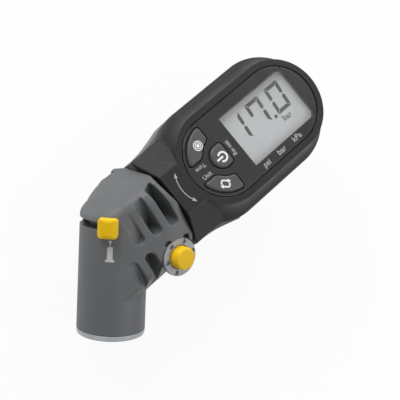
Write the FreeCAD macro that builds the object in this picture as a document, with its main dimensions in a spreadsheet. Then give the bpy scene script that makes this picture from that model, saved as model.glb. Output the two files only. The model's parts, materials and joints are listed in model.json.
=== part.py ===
import FreeCAD, Part
import math
import os
import re
import Sketcher
from FreeCAD import Placement, Rotation, Vector

# Digital tire pressure gauge with a swivelling valve head.
#
# The gauge lies with its face up (+Z) and its long axis along X. The origin is on the flat back of the
# rear cover. The axis that the head turns on runs along X, and the chuck's axis crosses it at the elbow.
# Three frames are used: the gauge frame and the head frame, both at the elbow with X along the swivel
# axis, the head frame rolled about it so that its +Z leaves the hood squarely, and the chuck frame, whose
# +Z runs down the chuck to its mouth and whose +X faces away from the gauge. Lengths are in millimetres
# and angles in degrees.

SIZES = {
    # Elbow, swivel and the two eight-sided barrels
    "rest_reach": 58.0,
    "axis_height": 8.4,
    "across_flats": 41.6,
    "chuck_angle": 121.6,
    "head_roll": 60.0,
    "rim_reach": 24.0,
    "rim_bevel": 1.7,
    "rim_bevel_run": 2.2,
    "swivel_gap": 0.3,
    "running_gap": 0.05,
    # Casing
    "lens_reach": 52.0,
    "lens_length": 34.8,
    "lens_half": 17.0,
    "lens_thick": 1.3,
    "lens_sunk": 0.2,
    "lens_gap": 0.15,
    "bezel_half": 19.5,
    "bezel_edge": 0.5,
    "rim_deep": 1.6,
    "waist_half": 19.6,
    "casing_half": 25.0,
    "side_curve": 13.7,
    "wall": 2.0,
    "ledge_thick": 1.5,
    "ledge_width": 1.4,
    "cavity_shift": 1.5,
    "cavity_rise": 4.0,
    "back_half": 18.8,
    "back_curve": 7.2,
    "side_drop": 2.0,
    "side_draft": 0.5,
    "shoulder_start": 31.7,
    "hump_start": 34.0,
    "hump_end": 61.0,
    # Screws that hold the two casing halves
    "near_screw_reach": 46.5,
    "near_screw_side": 17.8,
    "far_screw_reach": 96.0,
    "far_screw_side": 16.2,
    "boss_half": 2.7,
    "boss_height": 3.9,
    "screw_shank": 1.15,
    "screw_head": 2.3,
    "screw_sink": 1.4,
    "screw_length": 18.5,
    # Display
    "window_reach": 61.0,
    "window_length": 37.4,
    "window_half": 12.1,
    "frame_far_strip": 2.0,
    "frame_top_strip": 1.3,
    "frame_thick": 3.2,
    "frame_rim": 2.0,
    "frame_corner": 4.0,
    "panel_thick": 2.0,
    "connector_thick": 1.8,
    "board_drop": 4.5,
    "board_thick": 1.6,
    "board_half": 14.4,
    "board_near": 51.0,
    # Keys
    "key_proud": 0.5,
    "key_gap": 0.35,
    "key_outer": 15.2,
    "key_inner": 8.4,
    "key_side": 4.1,
    "key_shift": 0.7,
    "power_half": 4.95,
    "power_flat": 3.4,
    "key_corner": 1.1,
    "key_round": 0.6,
    "key_flange": 0.7,
    "key_flange_thick": 1.2,
    "key_travel": 0.6,
    "mat_thick": 1.4,
    "dome_half": 2.6,
    "dome_rise": 0.3,
    # Coin cell and its door
    "cell_reach": 81.0,
    "cell_half": 10.0,
    "cell_thick": 3.2,
    "door_half": 12.0,
    "door_thick": 1.5,
    "door_gap": 0.1,
    "door_ledge": 1.0,
    "lug_thick": 0.9,
    "lug_angle": 40.0,
    "coin_slot_long": 14.0,
    "coin_slot_wide": 1.6,
    "coin_slot_deep": 0.9,
    "seal_wire": 0.35,
    "strip_thick": 0.4,
    "strip_wide": 4.0,
    # Swivel spindle, air hose and sensor
    "spindle_half": 6.5,
    "spindle_bore": 1.2,
    "spindle_tip": 15.4,
    "flange_half": 9.0,
    "flange_reach": 27.4,
    "flange_thick": 2.4,
    "spindle_tail": 5.0,
    "tail_length": 4.5,
    "barb_half": 1.7,
    "barb_length": 6.5,
    "ring_wire": 0.6,
    "first_seal": 19.2,
    "second_seal": 21.8,
    "clip_reach": 16.4,
    "clip_thick": 1.0,
    "clip_half": 7.8,
    "clip_groove": 1.1,
    "washer_half": 12.0,
    "washer_bore": 7.2,
    "washer_thick": 1.1,
    "hose_half": 2.9,
    "hose_length": 10.0,
    "sensor_half": 6.0,
    "sensor_length": 8.0,
    "sensor_pin": 0.4,
    # Head shell
    "hood_height": 18.1,
    "hood_tilt": 2.6,
    "hood_round": 3.0,
    "chuck_half": 13.45,
    "chuck_mouth_half": 13.7,
    "chuck_length": 33.5,
    "flank_start": 66.0,
    "core_bore": 9.6,
    "core_top": 12.2,
    "clip_chamber": 8.6,
    "crest_half": 11.75,
    "groove_width": 4.1,
    "groove_pitch": 7.2,
    "groove_first": 18.3,
    "groove_core": 14.1,
    "groove_web": 9.3,
    "upper_groove_end": 3.8,
    "lower_groove_end": -4.9,
    # Valve selector
    "slot_top": 11.7,
    "slot_height": 2.8,
    "selector_angle": 45.5,
    "arm_wide": 4.0,
    "arm_gap": 0.2,
    "tab_wide": 7.8,
    "tab_high": 7.9,
    "tab_thick": 3.4,
    "tab_face": 3.0,
    "tab_bevel": 0.8,
    "tab_corner": 1.5,
    "tab_gap": 0.35,
    "selector_bore": 5.4,
    "selector_high": 5.4,
    "cam_plate": 1.0,
    "detent_half": 1.2,
    "detent_deep": 5.0,
    # Mouth, gasket, core and depressor
    "cap_height": 2.2,
    "cap_skirt": 10.6,
    "cap_skirt_length": 4.2,
    "cap_round": 0.8,
    "mouth_half": 4.4,
    "mouth_bevel": 0.8,
    "gasket_high": 6.5,
    "gasket_bore": 3.4,
    "pin_half": 1.5,
    "pin_reach": 26.0,
    "pin_travel": 2.0,
    "pin_collar": 2.6,
    # Bleed valve
    "bleed_x": 14.1,
    "bleed_z": -11.7,
    "bleed_face": 19.9,
    "collar_half": 7.8,
    "collar_thick": 1.9,
    "collar_edge": 0.5,
    "collar_seat": 5.8,
    "collar_depth": 11.0,
    "collar_floor": 2.0,
    "pin_hole_half": 0.8,
    "pin_hole_circle": 6.3,
    "pin_hole_turn": 45.0,
    "pin_hole_deep": 1.2,
    "scallop_half": 1.5,
    "scallop_deep": 1.6,
    "button_half": 4.8,
    "button_proud": 3.8,
    "button_round": 0.9,
    "button_wall": 1.0,
    "button_travel": 1.8,
    "stem_half": 1.0,
    "poppet_half": 2.4,
    "poppet_thick": 1.4,
    "bleed_chamber": 3.1,
    "bleed_chamber_deep": 6.0,
    "spring_half": 2.6,
    "spring_wire": 0.35,
}

DERIVED = {
    "flat_half": "across_flats / 2",
    "facet_half": "flat_half * tan(22.5 deg)",
    "parting": "facet_half",
    "face": "flat_half",
    "back": "-axis_height",
    "neck_end": "rim_reach + swivel_gap",
    "lens_end": "lens_reach + lens_length",
    "boss_top": "parting + boss_height",
    "lens_top": "face - lens_sunk",
    "lens_floor": "lens_top - lens_thick",
    "ledge_floor": "lens_floor - ledge_thick",
    "ledge_half": "lens_half - ledge_width",
    "cavity_near": "lens_reach + cavity_shift",
    "cavity_side": "casing_half - wall",
    "cavity_top": "waist_half - wall",
    "cavity_middle": "waist_half + 0.2",
    "shoulder_touch": "lens_reach - casing_half * cos(shoulder_turn * 1 deg)",
    "shoulder_side": "casing_half * sin(shoulder_turn * 1 deg)",
    "shoulder_turn": "atan(flat_half / (lens_reach - shoulder_start)) / 1 deg"
                     " + acos(casing_half / sqrt(flat_half ^ 2 + (lens_reach - shoulder_start) ^ 2)) / 1 deg",
    "panel_top": "ledge_floor - 1.0",
    "panel_floor": "panel_top - panel_thick",
    "board_top": "ledge_floor - board_drop",
    "board_floor": "board_top - board_thick",
    "window_end": "window_reach + window_length",
    "mat_floor": "board_top + dome_rise + 0.1",
    "mat_top": "mat_floor + mat_thick",
    "key_floor": "mat_top + key_travel + 0.05",
    "flange_top": "lens_floor - 0.15",
    "key_top": "face + key_proud",
    "key_edge": "lens_reach - key_shift",
    "power_side": "sqrt(power_half ^ 2 - 0.6 ^ 2)",
    "cell_floor": "back + door_thick + lug_thick + 0.4",
    "cell_top": "cell_floor + cell_thick",
    "ledge_rise": "back + door_thick",
    "spindle_end": "flange_reach + flange_thick + tail_length",
    "barb_end": "spindle_end + barb_length",
    "sensor_near": "spindle_end + hose_length + 1.0",
    "socket_floor": "clip_reach + clip_thick + 0.1",
    "slot_floor": "slot_top - slot_height",
    "slot_half": "selector_angle + atan(arm_wide / 2 / core_bore) / 1 deg + 1",
    "selector_floor": "core_top - 0.2 - selector_high",
    "detent_reach": "(core_bore + selector_bore) / 2",
    "gasket_floor": "chuck_length - cap_skirt_length",
    "gasket_top": "gasket_floor - gasket_high",
    "mouth": "chuck_length + cap_height",
    "flank_x": "chuck_half * cos(flank_start * 1 deg)",
    "flank_y": "chuck_half * sin(flank_start * 1 deg)",
    "flank_end": "flank_x - (flat_half - flank_y) * tan(flank_start * 1 deg)",
    "seat_face": "bleed_face - collar_thick",
    "collar_inner": "seat_face - collar_depth",
    "button_floor": "collar_inner + collar_floor + button_travel + 0.6",
    "button_top": "bleed_face + button_proud",
}

FAR = 70.0

doc = FreeCAD.newDocument("tire_pressure_gauge")
sheet = doc.addObject("Spreadsheet::Sheet", "sheet")
for row, (alias, size) in enumerate(SIZES.items(), start=1):
    sheet.set(f"A{row}", alias)
    sheet.set(f"B{row}", str(size))
    sheet.setAlias(f"B{row}", alias)
doc.recompute()


def full(expression):
    """Puts the sheet's name or the derived set's name in front of each size in an expression."""
    def owner(match):
        word = match.group(0)
        if word in SIZES:
            return "sheet." + word
        return "derived." + word if word in DERIVED else word
    return re.sub(r"[a-z][a-z0-9_]*", owner, str(expression))


derived = doc.addObject("App::VarSet", "derived")
for alias in DERIVED:
    derived.addProperty("App::PropertyFloat", alias)
for alias, expression in DERIVED.items():
    derived.setExpression(alias, full(expression))
probe = doc.addObject("App::VarSet", "probe")
probe.addProperty("App::PropertyFloat", "reading")
doc.recompute()


def number(expression):
    """The value of an expression of sizes."""
    probe.setExpression("reading", full(expression))
    probe.recompute()
    return probe.reading


def bind(item, target, expression):
    """Ties a property of an object to an expression of sizes."""
    item.setExpression(target, full(expression))


# Frames

elbow = Vector(-number("rest_reach"), 0, number("axis_height"))


def about_z(angle):
    """A turn about the Z axis."""
    return Rotation(Vector(0, 0, 1), angle)


GAUGE = Placement(elbow, Rotation())
HEAD = Placement(elbow, Rotation(Vector(1, 0, 0), -number("head_roll")))
STRAIGHT = Placement()
SWIVEL = Placement(Vector(), Rotation(Vector(0, 1, 0), 90))
CHUCK = Placement(Vector(), Rotation(Vector(0, 1, 0), number("chuck_angle") - 270))
BLEED = Placement(Vector(number("bleed_x"), 0, number("bleed_z")), Rotation(Vector(1, 0, 0), 90))


# Sketches. A loop is a list of nodes (x, y), each with an optional bend for the stretch that leaves it.

def bend(kind, expression, side):
    """An arc given by its radius or by one coordinate of its centre, on the left or right of its chord."""
    return (kind, expression, 1 if side == "left" else -1)


def bent(start, stop, arc):
    """The arc between two points as a first guess for the sketch."""
    kind, expression, side = arc
    chord = stop - start
    middle = (start + stop) / 2
    normal = Vector(-chord.y, chord.x, 0).normalize()
    value = number(expression)
    if kind == "radius":
        rise = math.sqrt(max(value ** 2 - (chord.Length / 2) ** 2, 0))
        centre = middle - normal * side * rise
    else:
        along = normal.x if kind == "centre_x" else normal.y
        rest = value - (middle.x if kind == "centre_x" else middle.y)
        centre = middle + normal * (rest / along)
    reach = (start - centre).Length
    return Part.Arc(start, centre + normal * side * reach, stop)


def draw(sketch, loops):
    """Draws closed loops and circles, every node held by its two distances from the origin."""
    for loop in loops:
        if loop[0] == "circle":
            draw_circle(sketch, *loop[1:])
        else:
            draw_loop(sketch, loop)


def draw_circle(sketch, across, up, radius):
    """Draws a circle held by its centre and radius."""
    centre = Vector(number(across), number(up), 0)
    item = sketch.addGeometry(Part.Circle(centre, Vector(0, 0, 1), number(radius)), False)
    hold(sketch, Sketcher.Constraint("Radius", item, number(radius)), radius)
    hold(sketch, Sketcher.Constraint("DistanceX", -1, 1, item, 3, centre.x), across)
    hold(sketch, Sketcher.Constraint("DistanceY", -1, 1, item, 3, centre.y), up)


def hold(sketch, constraint, expression):
    """Adds a constraint and ties it to its expression."""
    index = sketch.addConstraint(constraint)
    sketch.setExpression(f"Constraints[{index}]", full(expression))


def draw_loop(sketch, nodes):
    """Draws one closed loop of lines and arcs."""
    spots = [Vector(number(node[0]), number(node[1]), 0) for node in nodes]
    ends = []
    for place, node in enumerate(nodes):
        start = spots[place]
        stop = spots[(place + 1) % len(nodes)]
        curve = bent(start, stop, node[2]) if len(node) == 3 else Part.LineSegment(start, stop)
        item = sketch.addGeometry(curve, False)
        first = 1 if (sketch.getPoint(item, 1) - start).Length < 1e-6 else 2
        ends.append((item, first, 3 - first))
    for place, node in enumerate(nodes):
        item, first, last = ends[place]
        following = ends[(place + 1) % len(nodes)]
        sketch.addConstraint(Sketcher.Constraint("Coincident", item, last, following[0], following[1]))
        spot = spots[place]
        hold(sketch, Sketcher.Constraint("DistanceX", -1, 1, item, first, spot.x), node[0])
        hold(sketch, Sketcher.Constraint("DistanceY", -1, 1, item, first, spot.y), node[1])
        if len(node) == 3:
            kind, expression = node[2][:2]
            value = number(expression)
            if kind == "radius":
                hold(sketch, Sketcher.Constraint("Radius", item, value), expression)
            else:
                axis = "DistanceX" if kind == "centre_x" else "DistanceY"
                hold(sketch, Sketcher.Constraint(axis, -1, 1, item, 3, value), expression)


def rectangle(left, low, right, high):
    """A rectangular loop."""
    return [(left, low), (right, low), (right, high), (left, high)]


def stadium(near, far, half):
    """A loop of two straight sides and two half-round ends."""
    return [(near, f"-({half})"), (far, f"-({half})", bend("centre_x", far, "right")),
            (far, half), (near, half, bend("centre_x", near, "right"))]


# Features

def new_body(name):
    """An empty body."""
    return doc.addObject("PartDesign::Body", name)


def new_sketch(body, plane, loops, offset="0", shift="0"):
    """A sketch on one of the body's own planes, moved by offset along its normal."""
    support = [item for item in body.Origin.OriginFeatures if item.Role == plane + "_Plane"][0]
    sketch = body.newObject("Sketcher::SketchObject", body.Name + "_sketch")
    sketch.AttachmentSupport = (support, "")
    sketch.MapMode = "FlatFace"
    bind(sketch, "AttachmentOffset.Base.z", offset)
    bind(sketch, "AttachmentOffset.Base.x", shift)
    draw(sketch, loops)
    return sketch


def pad(body, plane, loops, start, stop):
    """Adds a prism from start to stop along the plane's normal."""
    feature = body.newObject("PartDesign::Pad", body.Name + "_pad")
    feature.Profile = new_sketch(body, plane, loops, start)
    bind(feature, "Length", f"({stop}) - ({start})")
    doc.recompute()
    return feature


def pocket(body, plane, loops, start, stop):
    """Cuts a prism from start to stop along the plane's normal."""
    before = body.Shape.Volume
    feature = body.newObject("PartDesign::Pocket", body.Name + "_pocket")
    feature.Profile = new_sketch(body, plane, loops, start)
    feature.Reversed = True
    bind(feature, "Length", f"({stop}) - ({start})")
    doc.recompute()
    check_cut(body, before)
    return feature


def turn(body, profile, centre="0", cut=False, angle="360", axis="V_Axis"):
    """Turns a profile of (radius, height) nodes about an upright axis at x = centre."""
    before = body.Shape.Volume if body.Tip else 0
    kind = "PartDesign::Groove" if cut else "PartDesign::Revolution"
    feature = body.newObject(kind, body.Name + "_turn")
    sketch = new_sketch(body, "XZ", [profile], shift=centre)
    feature.Profile = sketch
    feature.ReferenceAxis = (sketch, [axis])
    bind(feature, "Angle", angle)
    doc.recompute()
    if cut:
        check_cut(body, before)
    return feature


def check_cut(body, before):
    """Stops where a cut removed nothing."""
    if body.Shape.Volume > before - 1e-6:
        raise ValueError(body.Name + ": a cut removed nothing")


def turned(name, profile, place=STRAIGHT, angle="360"):
    """A body turned from one profile of (radius, height) nodes about its Z axis."""
    body = new_body(name)
    turn(body, profile, angle=angle)
    body.Placement = place
    return body


def padded(name, plane, loops, start, stop, place=STRAIGHT):
    """A body made of one prism."""
    body = new_body(name)
    pad(body, plane, loops, start, stop)
    body.Placement = place
    return body


def ring_of(radius, height, wire):
    """The profile of a hidden seal ring: an eight-sided loop about the given radius and height."""
    return [(f"{radius} + {wire} * cos({turn_angle} deg)", f"{height} + {wire} * sin({turn_angle} deg)")
            for turn_angle in range(0, 360, 45)]


def tube(inner, outer, low, high):
    """The profile of a plain ring."""
    return rectangle(inner, low, outer, high)


def fillet(body, edges, radius):
    """Rounds edges of the body's last feature."""
    last = body.Tip
    feature = body.newObject("PartDesign::Fillet", body.Name + "_edge")
    feature.Base = (last, edges)
    bind(feature, "Radius", radius)
    doc.recompute()


def edges_where(shape, test):
    """Names of the edges of a shape whose points all pass a test."""
    names = []
    for index, edge in enumerate(shape.Edges, start=1):
        span = edge.ParameterRange
        points = [edge.valueAt(span[0] + (span[1] - span[0]) * part) for part in (0.05, 0.35, 0.65, 0.95)]
        if all(test(point) for point in points):
            names.append(f"Edge{index}")
    return names


def join(name, items):
    """Fuses objects into one."""
    result = doc.addObject("Part::MultiFuse", name)
    result.Shapes = items
    result.Refine = True
    doc.recompute()
    return result


def without(name, base, tools):
    """Cuts tools from a base."""
    result = doc.addObject("Part::Cut", name)
    result.Base = base
    result.Tool = tools[0] if len(tools) == 1 else join(name + "_tools", tools)
    result.Refine = True
    doc.recompute()
    if result.Shape.Volume > base.Shape.Volume - 1e-6:
        raise ValueError(name + ": a cut removed nothing")
    return result


def within(name, items):
    """The space that objects share."""
    result = doc.addObject("Part::MultiCommon", name)
    result.Shapes = items
    doc.recompute()
    return result


def cylinder(name, radius, low, high, place=STRAIGHT):
    """A cylinder from low to high along the Z axis of its place."""
    item = doc.addObject("Part::Cylinder", name)
    bind(item, "Radius", radius)
    bind(item, "Height", f"({high}) - ({low})")
    item.Placement = place * Placement(Vector(0, 0, number(low)), Rotation())
    return item


def box(name, low, high, place=STRAIGHT):
    """A box between two corners, each an (x, y, z) of expressions."""
    item = doc.addObject("Part::Box", name)
    for size, start, stop in zip(("Length", "Width", "Height"), low, high):
        bind(item, size, f"({stop}) - ({start})")
    item.Placement = place * Placement(Vector(*(number(start) for start in low)), Rotation())
    return item


def group(name, items):
    """Separate solids kept as one piece of the list."""
    result = doc.addObject("Part::Compound", name)
    result.Links = items
    doc.recompute()
    return result


# Pieces are collected by name, and each one's shape is written to its own file.

pieces = {}


def keep(name, item, place=None):
    """Names a finished piece and puts it in its place."""
    item.Label = name
    if place is not None:
        item.Placement = place
    pieces[name] = item
    return item


# Casing

def oval(body, profile, near, far, cut=False):
    """Adds or cuts a long round-ended form: a section between two centres, and its ends turned."""
    right = list(profile)
    left = [mirrored(profile, place) for place in range(len(profile) - 1, -1, -1)]
    section = [right + left]
    (pocket if cut else pad)(body, "YZ", section, near, far)
    axis_side = [("0", profile[-1][1]), ("0", profile[0][1])]
    for centre in (near, far):
        turn(body, list(profile) + axis_side, centre, cut)


def mirrored(profile, place):
    """One node of the profile's mirror image, walked backwards."""
    node = profile[place]
    flipped = (f"-({node[0]})", node[1])
    if place > 0 and len(profile[place - 1]) == 3:
        return flipped + (profile[place - 1][2],)
    return flipped


def spindle_seat(body):
    """Cuts the round seat that clamps the spindle and its flange in the neck."""
    seat = [("neck_end - 1", "0"), ("cavity_near - cavity_side + 6", "0"),
            ("cavity_near - cavity_side + 6", "spindle_tail"), ("flange_reach + flange_thick", "spindle_tail"),
            ("flange_reach + flange_thick", "flange_half"), ("flange_reach", "flange_half"),
            ("flange_reach", "spindle_half"), ("neck_end - 1", "spindle_half")]
    turn(body, seat, cut=True, axis="H_Axis")


def screw_spots():
    """The four screw positions."""
    return [(reach, sign + side) for reach, side in (("near_screw_reach", "near_screw_side"),
                                                     ("far_screw_reach", "far_screw_side"))
            for sign in ("", "-")]


def make_front_casing():
    """Upper shell: bezel, sides that flare in a hollow curve, and the upper part of the eight-sided neck."""
    body = new_body("front_casing_body")
    flank = bend("radius", "side_curve", "left")
    oval(body, [("casing_half", "parting", flank), ("waist_half", "face - rim_deep"),
                ("bezel_half + bezel_edge", "face - bezel_edge"), ("bezel_half", "face")], "lens_reach", "lens_end")
    neck = [("-flat_half", "parting"), ("flat_half", "parting"), ("facet_half", "face"), ("-facet_half", "face")]
    pad(body, "YZ", [neck], "neck_end", "lens_reach")
    hollow = [("cavity_side", "parting - 1"), ("cavity_side", "parting"), ("cavity_middle", "parting + cavity_rise"),
              ("cavity_top", "ledge_floor")]
    oval(body, hollow, "cavity_near", "lens_end", cut=True)
    pocket(body, "XY", [stadium("lens_reach", "lens_end", "lens_half")], "lens_floor", "face + 1")
    pocket(body, "XY", [stadium("lens_reach", "lens_end", "ledge_half")], "ledge_floor - 1", "lens_floor")
    spindle_seat(body)
    for across, side in screw_spots():
        pad(body, "XY", [("circle", across, side, "boss_half")], "parting", "boss_top")
    for across, side in screw_spots():
        pocket(body, "XY", [("circle", across, side, "screw_shank")], "parting - 1", "boss_top - 1")
    keep("front_casing", body, GAUGE)


def make_rear_cover():
    """Lower shell: flat back, screw bosses, battery opening and the lower part of the neck."""
    body = new_body("rear_cover_body")
    corner = bend("radius", "back_curve", "right")
    outer = [("back_half", "back", corner), ("casing_half - side_draft", "-side_drop"), ("casing_half", "parting")]
    oval(body, outer, "lens_reach", "lens_end")
    barrel = [("-flat_half", "-facet_half"), ("-facet_half", "-flat_half"), ("facet_half", "-flat_half"),
              ("flat_half", "-facet_half"), ("flat_half", "parting"), ("-flat_half", "parting")]
    pad(body, "YZ", [barrel], "neck_end", "hump_start")
    tail = [("-back_half", "back + 5"), ("-facet_half", "back + 0.6"), ("facet_half", "back + 0.6"),
            ("back_half", "back + 5"), ("back_half", "parting"), ("-back_half", "parting")]
    hump = body.newObject("PartDesign::AdditiveLoft", "hump")
    hump.Profile = new_sketch(body, "YZ", [barrel], "hump_start")
    hump.Sections = [new_sketch(body, "YZ", [tail], "hump_end")]
    hump.Ruled = True
    doc.recompute()
    shoulders = [("shoulder_start", "-flat_half"), ("shoulder_touch", "-shoulder_side"),
                 ("shoulder_touch", "shoulder_side"), ("shoulder_start", "flat_half")]
    pad(body, "XY", [shoulders], "-side_drop", "parting")
    hollow = [("back_half - wall", "back + wall", corner), ("cavity_side - side_draft", "-side_drop"),
              ("cavity_side", "parting"), ("cavity_side", "parting + 1")]
    oval(body, hollow, "cavity_near", "lens_end", cut=True)
    spindle_seat(body)
    for across, side in screw_spots():
        pad(body, "XY", [("circle", across, side, "boss_half")], "back + wall / 2", "parting")
    for across, side in screw_spots():
        pocket(body, "XY", [("circle", across, side, "screw_shank + 0.1")], "back - 1", "parting + 1")
        pocket(body, "XY", [("circle", across, side, "screw_head + 0.1")], "back - 1", "back + screw_sink")
    pad(body, "XY", [("circle", "cell_reach", "0", "door_half + door_gap + 1.2")], "back", "cell_top - 0.6")
    pocket(body, "XY", [("circle", "cell_reach", "0", "door_half + door_gap")], "back - 1", "ledge_rise")
    pocket(body, "XY", [("circle", "cell_reach", "0", "door_half - door_ledge + 0.1")], "back", "cell_top + 1")
    lug_room = "ledge_rise + 0.45"
    pocket(body, "XY", [("circle", "cell_reach", "0", "door_half + 0.1")], lug_room, "lug_thick + " + lug_room + " + 0.2")
    keep("rear_cover", body, GAUGE)


def make_casing_screws():
    """Four countersunk screws from the back."""
    screws = []
    profile = [("0", "back + 0.2"), ("screw_head", "back + 0.2"), ("screw_head", "back + screw_sink"),
               ("screw_shank", "back + screw_sink"), ("screw_shank", "back + screw_length"),
               ("0", "back + screw_length")]
    for across, side in screw_spots():
        screw = turned("casing_screw", profile, Placement(Vector(number(across), number(side), 0), Rotation()))
        screws.append(screw)
    keep("casing_screws", group("screw_group", screws), GAUGE)


# Display

def key_loop(side, spread="0", outer_spread="0"):
    """The outline of a wedge key beside the power key, spread outwards by a gap."""
    outer = f"(key_outer + {outer_spread})"
    inner = f"(key_inner - {spread})"
    edge = f"(key_edge + {spread})"
    sign, convex, hollow = ("", "right", "left") if side > 0 else ("-", "left", "right")
    low = f"(key_side - {spread})"
    return [(f"lens_reach - sqrt({inner} ^ 2 - {low} ^ 2)", f"{sign}{low}", bend("radius", inner, hollow)),
            (edge, f"{sign}sqrt({inner} ^ 2 - ({edge} - lens_reach) ^ 2)"),
            (edge, f"{sign}sqrt({outer} ^ 2 - ({edge} - lens_reach) ^ 2)", bend("radius", outer, convex)),
            (f"lens_reach - sqrt({outer} ^ 2 - {low} ^ 2)", f"{sign}{low}")]


def power_loop(spread="0"):
    """The outline of the power key: a half circle with one flat side."""
    half = f"(power_half + {spread})"
    flat = f"(key_edge + power_flat + {spread})"
    return [("key_edge", half, bend("centre_x", "key_edge", "right")), ("key_edge", f"-{half}"),
            (flat, f"-{half}"), (flat, half)]


def key_openings():
    """The three key outlines, each spread by the gap round a key."""
    return [key_loop(1, "key_gap", "key_gap"), key_loop(-1, "key_gap", "key_gap"), power_loop("key_gap")]


def make_display_lens():
    """Flat plate in the casing's recess, with an opening for each key."""
    plate = stadium("lens_reach", "lens_end", "lens_half - lens_gap")
    body = padded("display_lens_body", "XY", [plate], "lens_floor", "lens_top")
    for loop in key_openings():
        pocket(body, "XY", [loop], "lens_floor - 1", "lens_top + 1")
    keep("display_lens", body, GAUGE)


def make_keys():
    """Three rubber keys, each held under the lens by its flange."""
    straight = number("key_edge")
    for name, outline, flange, left in (("ring_key", key_loop(1), key_loop(1, "key_flange"), -FAR),
                                        ("power_key", power_loop(), power_loop("key_flange"), straight + 1),
                                        ("unit_key", key_loop(-1), key_loop(-1, "key_flange"), -FAR)):
        body = new_body(name + "_body")
        pad(body, "XY", [outline], "key_floor", "key_top")
        corners = [edge for edge in edges_where(body.Shape, lambda point: point.x > left)
                   if runs_along(body.Shape.getElement(edge), Vector(0, 0, 1))]
        fillet(body, corners, "key_corner")
        top = number("key_top")
        fillet(body, edges_where(body.Shape, lambda point: abs(point.z - top) < 1e-3), "key_round")
        pad(body, "XY", [flange], "flange_top - key_flange_thick", "flange_top")
        keep(name, body, GAUGE)


def runs_along(edge, direction):
    """Whether an edge is a straight line along a direction."""
    return isinstance(edge.Curve, Part.Line) and abs(edge.Curve.Direction.dot(direction)) > 0.999


def make_key_mat():
    """Rubber sheet between the keys and the switch domes."""
    far = "key_edge + power_flat + 1.6"
    outline = [(far, "-board_half", bend("centre_x", "lens_reach + 0.4", "left")), (far, "board_half")]
    keep("key_mat", padded("key_mat_body", "XY", [outline], "mat_floor", "mat_top"), GAUGE)


def make_display():
    """Liquid crystal panel, its light frame and the elastic connector to the board."""
    frame_far = "window_end - frame_far_strip"
    frame_top = "window_half - frame_top_strip"
    rim_far = "window_end + frame_rim - 0.4"
    rim_side = "window_half + frame_rim"
    rim = [("window_reach - frame_rim", f"-({rim_side})"), (f"{rim_far} - frame_corner", f"-({rim_side})"),
           (rim_far, f"-({rim_side} - frame_corner)"), (rim_far, f"{rim_side} - frame_corner"),
           (f"{rim_far} - frame_corner", rim_side), ("window_reach - frame_rim", rim_side)]
    body = padded("lcd_frame_body", "XY", [rim], "panel_floor - 0.4", "ledge_floor")
    pocket(body, "XY", [rectangle("window_reach - 0.6", "-window_half - 0.6", frame_far, frame_top)],
           "panel_top", "ledge_floor + 1")
    pocket(body, "XY", [rectangle("window_reach - 0.9", "-window_half - 0.9", "window_end", "window_half + 0.5")],
           "panel_floor - 1", "panel_top")
    keep("lcd_frame", body, GAUGE)
    panel = padded("lcd_panel_body", "XY",
                   [rectangle("window_reach - 0.8", "-window_half - 0.8", "window_end - 0.1", "window_half + 0.4")],
                   "panel_floor", "panel_top - 0.05")
    keep("lcd_panel", panel, GAUGE)
    strip = padded("lcd_connector_body", "XY",
                   [rectangle("window_reach + 2", "window_half - 2.4", "window_end - 2", "window_half - 0.6")],
                   "board_top", "panel_floor")
    keep("lcd_connector", strip, GAUGE)


def make_board():
    """Circuit board, with a dome switch under each key."""
    outline = [("board_near", "-board_half"), ("lens_end", "-board_half", bend("centre_x", "lens_end", "right")),
               ("lens_end", "board_half"), ("board_near", "board_half", bend("centre_x", "board_near", "right"))]
    keep("circuit_board", padded("circuit_board_body", "XY", [outline], "board_floor", "board_top"), GAUGE)
    domes = []
    for across, side in (("key_edge", "0"), ("lens_reach - key_inner + 1.6", "key_outer / 2 + 2.6"),
                         ("lens_reach - key_inner + 1.6", "-(key_outer / 2 + 2.6)")):
        profile = [("0", "board_top"), ("dome_half", "board_top"), ("dome_half * 0.6", "board_top + dome_rise"),
                   ("0", "board_top + dome_rise")]
        place = Placement(Vector(number(across), number(side), 0), Rotation())
        domes.append(turned("switch_dome", profile, place))
    keep("switch_domes", group("dome_group", domes), GAUGE)


# Battery

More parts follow.
